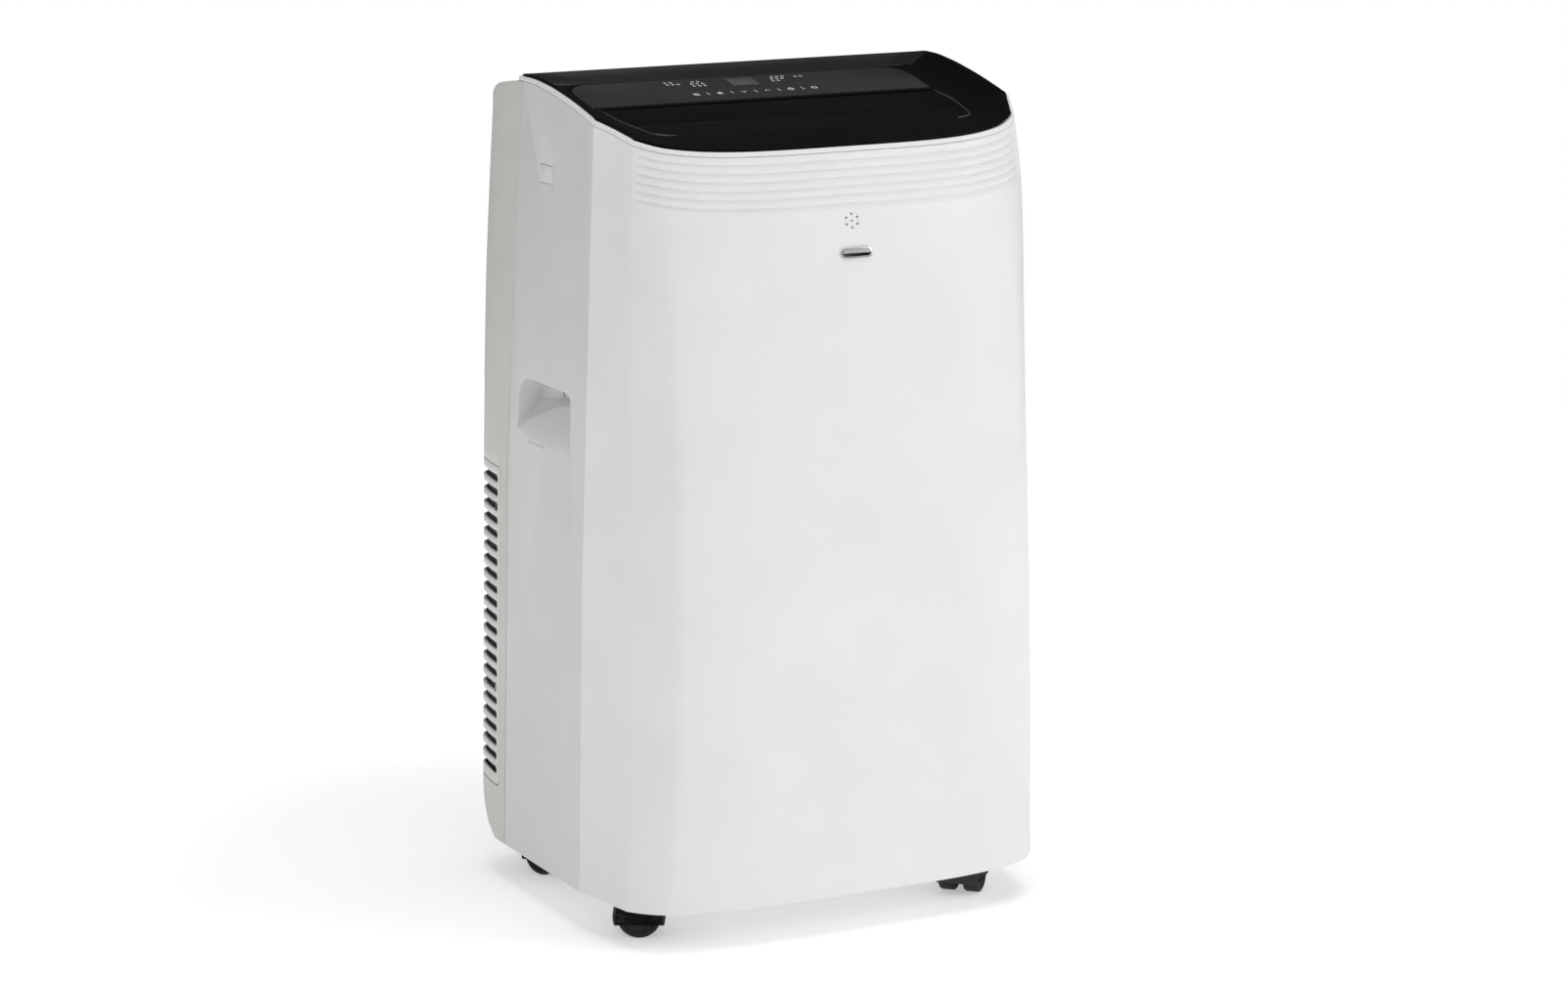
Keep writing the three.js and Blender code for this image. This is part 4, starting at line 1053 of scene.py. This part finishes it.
def dished_top():
    """The top's upper skin: banks all round, and three flat faces that make up the floor."""
    strip_fold = (STRIP_Y + 60) / (DISH_REAR + 60)
    flank_places = [(flank, t) for t in sorted({*steps(20, 1), strip_fold})]
    right = [cheek(s, t) for s, t in FRONT_PLACES + flank_places]
    corner_turn = len(right)
    right += [rear_bank(t) for t in steps(14, 1)]
    ring = right + flipped(right[1:-1])[::-1]
    n, k = len(ring), len(right[0])
    points = [p for section in ring for p in section]
    faces = [(i * k + j, i * k + j + 1, (i + 1) % n * k + j + 1, (i + 1) % n * k + j)
             for i in range(n) for j in range(k - 1)]
    faces.append((0, k, (n - 1) * k))
    for i in range(1, corner_turn - 1):
        faces.append((i * k, (i + 1) * k, (n - i - 1) * k, (n - i) * k))
    last = corner_turn - 1
    faces.append(tuple(i * k for i in range(last, n - last + 1)))
    return make("top_cover_skin", points, faces)


STRIP_PLACE = (Matrix.Translation(Vector((0, STRIP_Y, STRIP_Z)) * MM)
               @ Matrix.Rotation(math.atan(STRIP_SLOPE), 4, "X"))


def strip_outline(grow):
    return rounded((-STRIP_HALF - grow, STRIP_HALF + grow), (-1.5 - grow, STRIP_DEEP + grow), 2, 24, 12)


def on_strip(obj):
    return moved(obj, STRIP_PLACE)


top = deepen(dished_top(), FLANGE - 0.05)
cut(top, block("opening", (-DOOR_X - 0.6, DOOR_X + 0.6), (DOOR_FRONT - 0.6, -5.1), (690, 790)))
cut(top, block("opening", (-COMB_HALF, COMB_HALF), (DOOR_FRONT - 2, DOOR_FRONT), (690, 790)))
cut(top, on_strip(prism("opening", strip_outline(0.4), -20, 30, along_z)))
soften(top, 0.5, 2, 32)
finish_piece(top, satin_black, ["top_cover"], angle=28)
# Upward faces of the rear bank get the lighter black: painted light on the bank.
top.data.materials.append(lit_bank_black)
for face in top.data.polygons:
    face.material_index = int(face.center.y > DISH_REAR * MM and face.normal.z > 0.2)

comb_level = dish_at(DOOR_FRONT)
teeth = []
for k in range(round(2 * COMB_HALF / COMB_PITCH) - 1):
    x = -COMB_HALF + COMB_PITCH * (k + 1)
    teeth.append(block("tooth", (x - 0.55, x + 0.55), (DOOR_FRONT - 2.2, DOOR_FRONT - 0.5),
                       (comb_level - 2.4, comb_level - 0.7)))
# The comb teeth take the lighter black: painted highlight in the outlet's gap.
finish_piece(merged("outlet_comb", teeth), highlight_black)


def bead(name, path, radius, sides=10):
    """A half-buried round bead along a path, closed at both ends and tapered there."""
    rings = []
    last = len(path) - 1
    for k, here in enumerate(path):
        run = (path[min(k + 1, last)] - path[max(k - 1, 0)]).normalized()
        aside = run.cross(UP).normalized()
        up = aside.cross(run)
        share = radius * min(1, 0.35 + 0.3 * min(k, last - k))
        rings.append([here + aside * share * math.cos(a) + up * share * math.sin(a)
                      for a in (2 * math.pi * j / sides for j in range(sides))])
    return loft(name, rings)


RIDGE_PLACES = [*((flank, t) for t in (0.44, 0.38, 0.3, 0.22, 0.14, 0.06)),
                *((slab, t) for t in (0.9, 0.6, 0.3)),
                *((corner, t) for t in (1, 0.8, 0.6, 0.4, 0.2, 0)), (crown, 0.96)]
for side, name in ((-1, "left"), (1, "right")):
    line = [dish_edge(stretch, t) for stretch, t in RIDGE_PLACES]
    path = [Vector((side * x, y, dish_at(y) + 0.1)) for x, y in line]
    # The ridge beads take the lighter black: painted highlight round the outlet.
    finish_piece(bead(f"outlet_ridge_{name}", path, 0.8), highlight_black)
seat = on_strip(prism("strip_seat", strip_outline(0.9), -3.4, -2.3, along_z))
finish_piece(seat, inner_black)


# -------- touch control strip and its printed marks
WINDOW_X = 13.5
WINDOW_Y = (35.8, 55.2)
PRINT_THICK = 0.06
ICON_Y = 17.5
ICON_PITCH = 24
LINE = 0.75

strip = prism("control_strip", strip_outline(0), -STRIP_THICK, 0, along_z)
cut(strip, block("seat", (-WINDOW_X - 0.25, WINDOW_X + 0.25), (WINDOW_Y[0] - 0.25, WINDOW_Y[1] + 0.25),
                 (-1.2, 5)))
soften(strip, 0.35, 3)
on_strip(strip)
finish_piece(strip, gloss_black, ["control_panel"])
window = prism("display_glass", rounded((-WINDOW_X, WINDOW_X), WINDOW_Y, 0.6, 0.6, 4), -0.8, 0.02, along_z)
soften(window, 0.15)
finish_piece(on_strip(window), window_glass, ["display_window"])


def ribbon(points, width, closed=False):
    """A flat printed line along points [x, y] of the strip."""
    n = len(points)
    sides = [[], []]
    for i, point in enumerate(points):
        before = points[(i - 1) % n] if closed or i else point
        after = points[(i + 1) % n] if closed or i < n - 1 else point
        run = (Vector(after) - Vector(before)).normalized()
        aside = Vector((-run.y, run.x)) * width / 2
        sides[0].append(Vector(point) + aside)
        sides[1].append(Vector(point) - aside)
    quads = n if closed else n - 1
    points3 = [(p.x, p.y, h) for h in (0, PRINT_THICK) for line in sides for p in line]
    faces = []
    for i in range(quads):
        j = (i + 1) % n
        faces += [(2 * n + i, 2 * n + j, 3 * n + j, 3 * n + i), (i, n + i, n + j, j),
                  (i, j, 2 * n + j, 2 * n + i), (n + j, n + i, 3 * n + i, 3 * n + j)]
    if not closed:
        faces += [(0, 2 * n, 3 * n, n), (n - 1, 2 * n - 1, 4 * n - 1, 3 * n - 1)]
    return make("line", points3, faces, closed=True)


def dot(x, y, wide, high):
    """A small printed lozenge."""
    radius = min(wide, high) * 0.35
    shape = rounded((x - wide / 2, x + wide / 2), (y - high / 2, y + high / 2), radius, radius, 2)
    return prism("dot", shape, 0, PRINT_THICK, along_z)


def shifted(points, x, y):
    return [(x + a, y + b) for a, b in points]


def stroke(points, x, y, closed=False):
    """A printed line of an icon that stands at x, y."""
    return ribbon(shifted(points, x, y), LINE, closed)


def icon_swing(x, y):
    """Three waves, for the moving flap."""
    return [stroke([(lerp(-2.8, 2.8, t), rise + 0.55 * math.sin(2 * math.pi * t)) for t in steps(14)], x, y)
            for rise in (-1.8, 0, 1.8)]


def icon_fan(x, y):
    """Three petals round a hub."""
    petals = [stroke(arc((1.6 * math.cos(a), 1.6 * math.sin(a)), 1.15, 0, 360, 14)[:-1], x, y, True)
              for a in (math.radians(90 + 120 * k) for k in range(3))]
    return [*petals, dot(x, y, 0.8, 0.8)]


def icon_arrow(direction):
    def draw(x, y):
        return [stroke([(-2.4, -1.2 * direction), (0, 1.6 * direction), (2.4, -1.2 * direction)], x, y)]
    return draw


def icon_clock(x, y):
    hands = [(0, 1.6), (0, 0), (1.3, -0.7)]
    return [stroke(arc((0, 0), 2.6, 0, 360, 24)[:-1], x, y, True), stroke(hands, x, y)]


def icon_power(x, y):
    return [stroke(arc((0, 0), 2.6, 120, 300, 20), x, y), stroke([(0, 0.6), (0, 3.2)], x, y)]


ICONS = (icon_swing, icon_fan, icon_arrow(-1), icon_arrow(1), icon_clock, icon_power)
marks = []
for k, draw in enumerate(ICONS):
    marks += draw(ICON_PITCH * (k - 2.5), ICON_Y)
for k in range(5):
    x = ICON_PITCH * (k - 2)
    marks.append(ribbon([(x + 0.5, ICON_Y - 3), (x - 0.5, ICON_Y + 3)], 0.6))
# Rows of small indicator legends beside the window: [first x, y, how many]
for first, y, count in ((-75, 47, 3), (-75, 52.5, 2), (-51, 40, 3), (-51, 45.5, 3), (-48, 51, 2),
                        (31, 47, 3), (34, 52.5, 3), (30, 41.5, 2), (57, 50, 2)):
    for k in range(count):
        marks.append(dot(first + 5.4 * k, y, 3.1, 1.0))
        marks.append(dot(first + 5.4 * k - 0.4, y + 2.1, 1.1, 1.1))
finish_piece(on_strip(merged("panel_marks", marks)), print_white)


# -------- outlet flap and air vanes
HINGE_Y = -8.3
HINGE_DROP = 2.2
PIN_R = 1.2
PIN_X = 169.7
VANE_Y = -38
VANE_HALF = 19
CRANK_Y = -52


def flap_section():
    """The flap's side view: a plate with a rounded front roll and a thin finger lip."""
    front_z = dish_at(DOOR_FRONT)
    upper = [(DOOR_BACK, dish_at(DOOR_BACK)), (DOOR_FRONT + 3, dish_at(DOOR_FRONT + 3)),
             (DOOR_FRONT + 1, front_z - 0.15), (DOOR_FRONT, front_z - 0.9)]
    lower = [(DOOR_FRONT, front_z - DOOR_THICK + 0.5), (DOOR_FRONT + 0.6, front_z - DOOR_THICK),
             (DOOR_BACK, dish_at(DOOR_BACK) - DOOR_THICK)]
    return upper + lower


door = prism("outlet_flap", flap_section(), -DOOR_X, DOOR_X, along_x)
soften(door, 0.6, 3)
for k in (-1, 1):
    pin = cylinder("pin", PIN_R, 5.4, 24)
    add(door, placed(pin, (k * PIN_X - 2.7, HINGE_Y, dish_at(HINGE_Y) - HINGE_DROP), (1, 0, 0)))
finish_piece(door, satin_black, ["outlet_door"], body="outlet_door")

for name in (f"vane_{k}" for k in range(1, 7)):
    x = middle(name, 0)
    blade_outline = [(x + math.sin(math.pi * t) ** 0.7, lerp(VANE_Y - VANE_HALF, VANE_Y + VANE_HALF, t))
                     for t in steps(12)]
    blade_outline += [(2 * x - a, b) for a, b in blade_outline[-2:0:-1]]
    blade = prism(f"{name}_blade", blade_outline, 690, 715, along_z)
    for radius, at_y, z0, z1 in ((1.5, VANE_Y, 684.5, 720.5), (1.3, CRANK_Y, 686, 692)):
        post = cylinder("post", radius, z1 - z0, 20)
        add(blade, placed(post, (x, at_y, z0), (0, 0, 1)))
    finish_piece(blade, satin_black, [name], body=name)


# -------- casters
WHEEL_R = 20
WHEEL_WIDE = 14.5
WHEEL_IN = 4.75
CASTER_TRAIL = 17
HOOD_R = 24
HOOD_LIP_Z = 12
STEM_X = 160
STEM_Y = {"front": -98, "rear": 104}


def caster_places():
    """[name, swivel point, heading] of each caster, from the joints."""
    for end, y in STEM_Y.items():
        for side, x in (("left", -STEM_X), ("right", STEM_X)):
            name = f"{end}_{side}"
            corners = [*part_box(f"{name}_wheel_a"), *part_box(f"{name}_wheel_b")]
            axle = sum(corners, Vector()) / 4 / MM
            yield name, (x, y), math.atan2(axle.y - y, axle.x - x)


def wheel_profile():
    """Half section of one wheel: bore, dished inner face, tread with rounded shoulders, hub boss."""
    return [(3.3, 0.5), (7, 0.5), (8, 1.6), (15.5, 1.6), (16.5, 0), (18.8, 0), (WHEEL_R, 1.4),
            (WHEEL_R, WHEEL_WIDE - 2.2), (19.3, WHEEL_WIDE - 0.7), (17.8, WHEEL_WIDE), (16, WHEEL_WIDE),
            (15, WHEEL_WIDE - 1.6), (8.5, WHEEL_WIDE - 2.4), (7.4, WHEEL_WIDE - 0.4), (3.3, WHEEL_WIDE - 0.4)]


def caster_hood():
    """A horseshoe hood over both wheels, with a middle web, stem and axle."""
    hood = placed(cylinder("hood", HOOD_R, 40, 72), (CASTER_TRAIL, -20, WHEEL_R), (0, 1, 0))
    soften(hood, 2, 4, 60)
    add(hood, block("neck", (-8, 10), (-8, 8), (33, 42.9)))
    combine(hood, block("span", (-50, 60), (-40, 40), (HOOD_LIP_Z, 80)), "INTERSECT")
    for side in (1, -1):
        start = WHEEL_IN - 0.5 if side > 0 else -WHEEL_IN + 0.5 - 30
        cut(hood, placed(cylinder("well", WHEEL_R + 1.2, 30, 64), (CASTER_TRAIL, start, WHEEL_R), (0, 1, 0)))
    soften(hood, 0.5, 2, 40)
    add(hood, placed(cylinder("stem", 5, 26, 32), (0, 0, 37), (0, 0, 1)))
    add(hood, placed(cylinder("collar", 7.5, 2.2, 32), (0, 0, 42.4), (0, 0, 1)))
    add(hood, placed(cylinder("axle", 3, 38.6, 24), (CASTER_TRAIL, -19.3, WHEEL_R), (0, 1, 0)))
    return hood


for name, (x, y), heading in caster_places():
    place = Matrix.Translation(Vector((x, y, 0)) * MM) @ Matrix.Rotation(heading, 4, "Z")
    hood = moved(caster_hood(), place)
    hood.name = f"{name}_hood"
    finish_piece(hood, caster_black, [f"{name}_caster_hood"], body=f"{name}_caster_hood")
    for side, which in ((1, "a"), (-1, "b")):
        wheel = turned(f"{name}_tyre_{which}", wheel_profile(), 72)
        placed(wheel, (CASTER_TRAIL, side * WHEEL_IN, WHEEL_R), (0, side, 0))
        soften(wheel, 0.3)
        finish_piece(moved(wheel, place), tyre_black, [f"{name}_wheel_{which}"],
                     body=f"{name}_wheel_{which}")


# -------- carried-over inner parts
INNER = {
    "base_pan": inner_grey,
    "ir_receiver": window_glass,
    "control_board": board_green,
    "outlet_duct": inner_black,
    "vane_link": satin_black,
    "door_motor": motor_steel,
    "partition_tray": inner_black,
    "evaporator_coil": fins,
    "condenser_coil": fins,
    "evaporator_volute": inner_black,
    "condenser_volute": inner_black,
    "evaporator_blower_wheel": inner_black,
    "condenser_blower_wheel": inner_black,
    "evaporator_motor": motor_steel,
    "condenser_motor": motor_steel,
    "exhaust_duct": inner_black,
    "compressor": vessel_black,
    "accumulator": vessel_black,
    "suction_pipe": copper,
    "discharge_pipe": copper,
    "electrical_box": inner_grey,
    "run_capacitor": motor_steel,
}


def inner_piece(name, material):
    """A copy of a CAD node with welded, rounded edges, in its place."""
    mesh = bpy.data.meshes.new(f"{name}_body")
    with editing(mesh) as form:
        form.from_mesh(frame["nodes"][name].data)
        bmesh.ops.remove_doubles(form, verts=form.verts, dist=1e-6)
        bmesh.ops.dissolve_limit(form, angle_limit=math.radians(1), verts=form.verts, edges=form.edges)
        bmesh.ops.recalc_face_normals(form, faces=form.faces)
    obj = soften(linked(f"{name}_body", mesh), 0.35, 2, 50)
    finish_piece(obj, material, [name], body=name if name in frame["bodies"] else "casing", angle=40)


for name, material in INNER.items():
    inner_piece(name, material)


# -------- air filter: a frame with two panes of net
FILTER_LOW, FILTER_HIGH = (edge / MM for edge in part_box("air_filter"))
PANE_X = ((-130, -6), (6, 130))
PANE_Z = (588, 730)
NET_PITCH = 3.1
THREAD = 0.45

filter_outline = rounded((FILTER_LOW.x, FILTER_HIGH.x), (FILTER_LOW.z, FILTER_HIGH.z), 5, 3)
filter_frame = prism("filter_frame", filter_outline, FILTER_LOW.y, FILTER_HIGH.y, along_y)
windows = [prism("pane", rounded(x, PANE_Z, 4, 4), 130, 160, along_y) for x in PANE_X]
windows.append(prism("pull", rounded((-28, 28), (736, 743), 3, 3), FILTER_HIGH.y - 1.2, 160, along_y))
cut(filter_frame, merged("panes", windows))
soften(filter_frame, 0.6)
finish_piece(filter_frame, inner_black, ["air_filter"], body="air_filter")
threads = []
middle_y = (FILTER_LOW.y + FILTER_HIGH.y) / 2
for low_x, high_x in PANE_X:
    for t in steps(round((high_x - low_x) / NET_PITCH), 1)[:-1]:
        x = lerp(low_x, high_x, t)
        threads.append(block("thread", (x - THREAD / 2, x + THREAD / 2), (middle_y, middle_y + THREAD),
                             PANE_Z))
    for t in steps(round((PANE_Z[1] - PANE_Z[0]) / NET_PITCH), 1)[:-1]:
        z = lerp(*PANE_Z, t)
        threads.append(block("thread", (low_x, high_x), (middle_y - THREAD - 0.05, middle_y - 0.05),
                             (z - THREAD / 2, z + THREAD / 2)))
finish_piece(merged("filter_net", threads), thread_black, body="air_filter")


# -------- floor, light and camera
FLOOR_R = 2600
DAYLIGHT = Vector((-0.64, -0.77, 0.15))  # the direction it comes from


def area_light(name, at, aim, size, power):
    data = bpy.data.lights.new(name, "AREA")
    data.shape = "DISK"
    data.size = size
    data.energy = power
    obj = linked(name, data)
    obj.location = at
    obj.rotation_euler = (Vector(aim) - Vector(at)).to_track_quat("-Z", "Y").to_euler()


def surroundings():
    """A white backdrop for the eye, and softer, one-sided daylight for the object."""
    world = bpy.data.worlds.new("studio")
    bpy.context.scene.world = world
    world.use_nodes = True
    tree = world.node_tree
    tree.nodes.clear()
    seen = node(tree, "Background", Color=(1, 1, 1, 1), Strength=1)
    lit = node(tree, "Background", Color=(1, 1, 1, 1))
    place = node(tree, "TexCoord")
    facing = node(tree, "VectorMath")
    facing.operation = "DOT_PRODUCT"
    facing.inputs[1].default_value = DAYLIGHT.normalized()
    tree.links.new(place.outputs["Generated"], facing.inputs[0])
    level = node(tree, "MapRange", From_Min=-0.45, From_Max=1, To_Min=0.08, To_Max=0.55)
    tree.links.new(facing.outputs["Value"], level.inputs["Value"])
    tree.links.new(level.outputs["Result"], lit.inputs["Strength"])
    path = node(tree, "LightPath")
    mix = node(tree, "MixShader")
    tree.links.new(path.outputs["Is Camera Ray"], mix.inputs["Fac"])
    tree.links.new(lit.outputs["Background"], mix.inputs[1])
    tree.links.new(seen.outputs["Background"], mix.inputs[2])
    out = node(tree, "OutputWorld")
    tree.links.new(mix.outputs["Shader"], out.inputs["Surface"])


def pale_floor():
    """A pale round floor that brightens towards its edge, so it melts into the white backdrop."""
    rim_points = [(x, y, 0) for x, y in arc((0, 0), FLOOR_R, 0, 360, 96)[:-1]]
    obj = make("floor", rim_points, [tuple(range(len(rim_points)))])
    paper = moulded("floor_paper", (0.86, 0.86, 0.86), (0.88, 0.88, 0.88), (0.8, 0.9), grain=60, bump=0.05,
                    specular=0.1, mottle=2)
    tree = paper.node_tree
    shader = tree.nodes["Principled BSDF"]
    shader.inputs["Emission Color"].default_value = (1, 1, 1, 1)
    distance = node(tree, "VectorMath")
    distance.operation = "LENGTH"
    tree.links.new(node_of(tree, "TEX_COORD").outputs["Object"], distance.inputs[0])
    glow = node(tree, "MapRange", From_Min=0.2 * FLOOR_R * MM, From_Max=0.6 * FLOOR_R * MM,
                To_Min=0.4, To_Max=0.95)
    tree.links.new(distance.outputs["Value"], glow.inputs["Value"])
    tree.links.new(glow.outputs["Result"], shader.inputs["Emission Strength"])
    obj.data.materials.append(paper)
    return obj


surroundings()
floor = pale_floor()
area_light("key", (2.5, -2.3, 1.7), (0, 0, 0.5), 1.6, 40)
area_light("recess_fill", (-2.2, -0.8, 2.6), (0, 0, 0.4), 1.2, 8)
area_light("overhead", (0.2, -0.2, 4.0), (0, 0, 0), 3.0, 66)

camera = linked("camera", bpy.data.cameras.new("camera"))
camera.location = (-1.7956, -3.5541, 1.2277)
camera.rotation_euler = (math.radians(90 - 12.10), 0, math.radians(-27.03))
camera.data.lens = 101.2
camera.data.sensor_width = 36
bpy.context.scene.camera = camera
bpy.context.scene.view_settings.view_transform = "Standard"
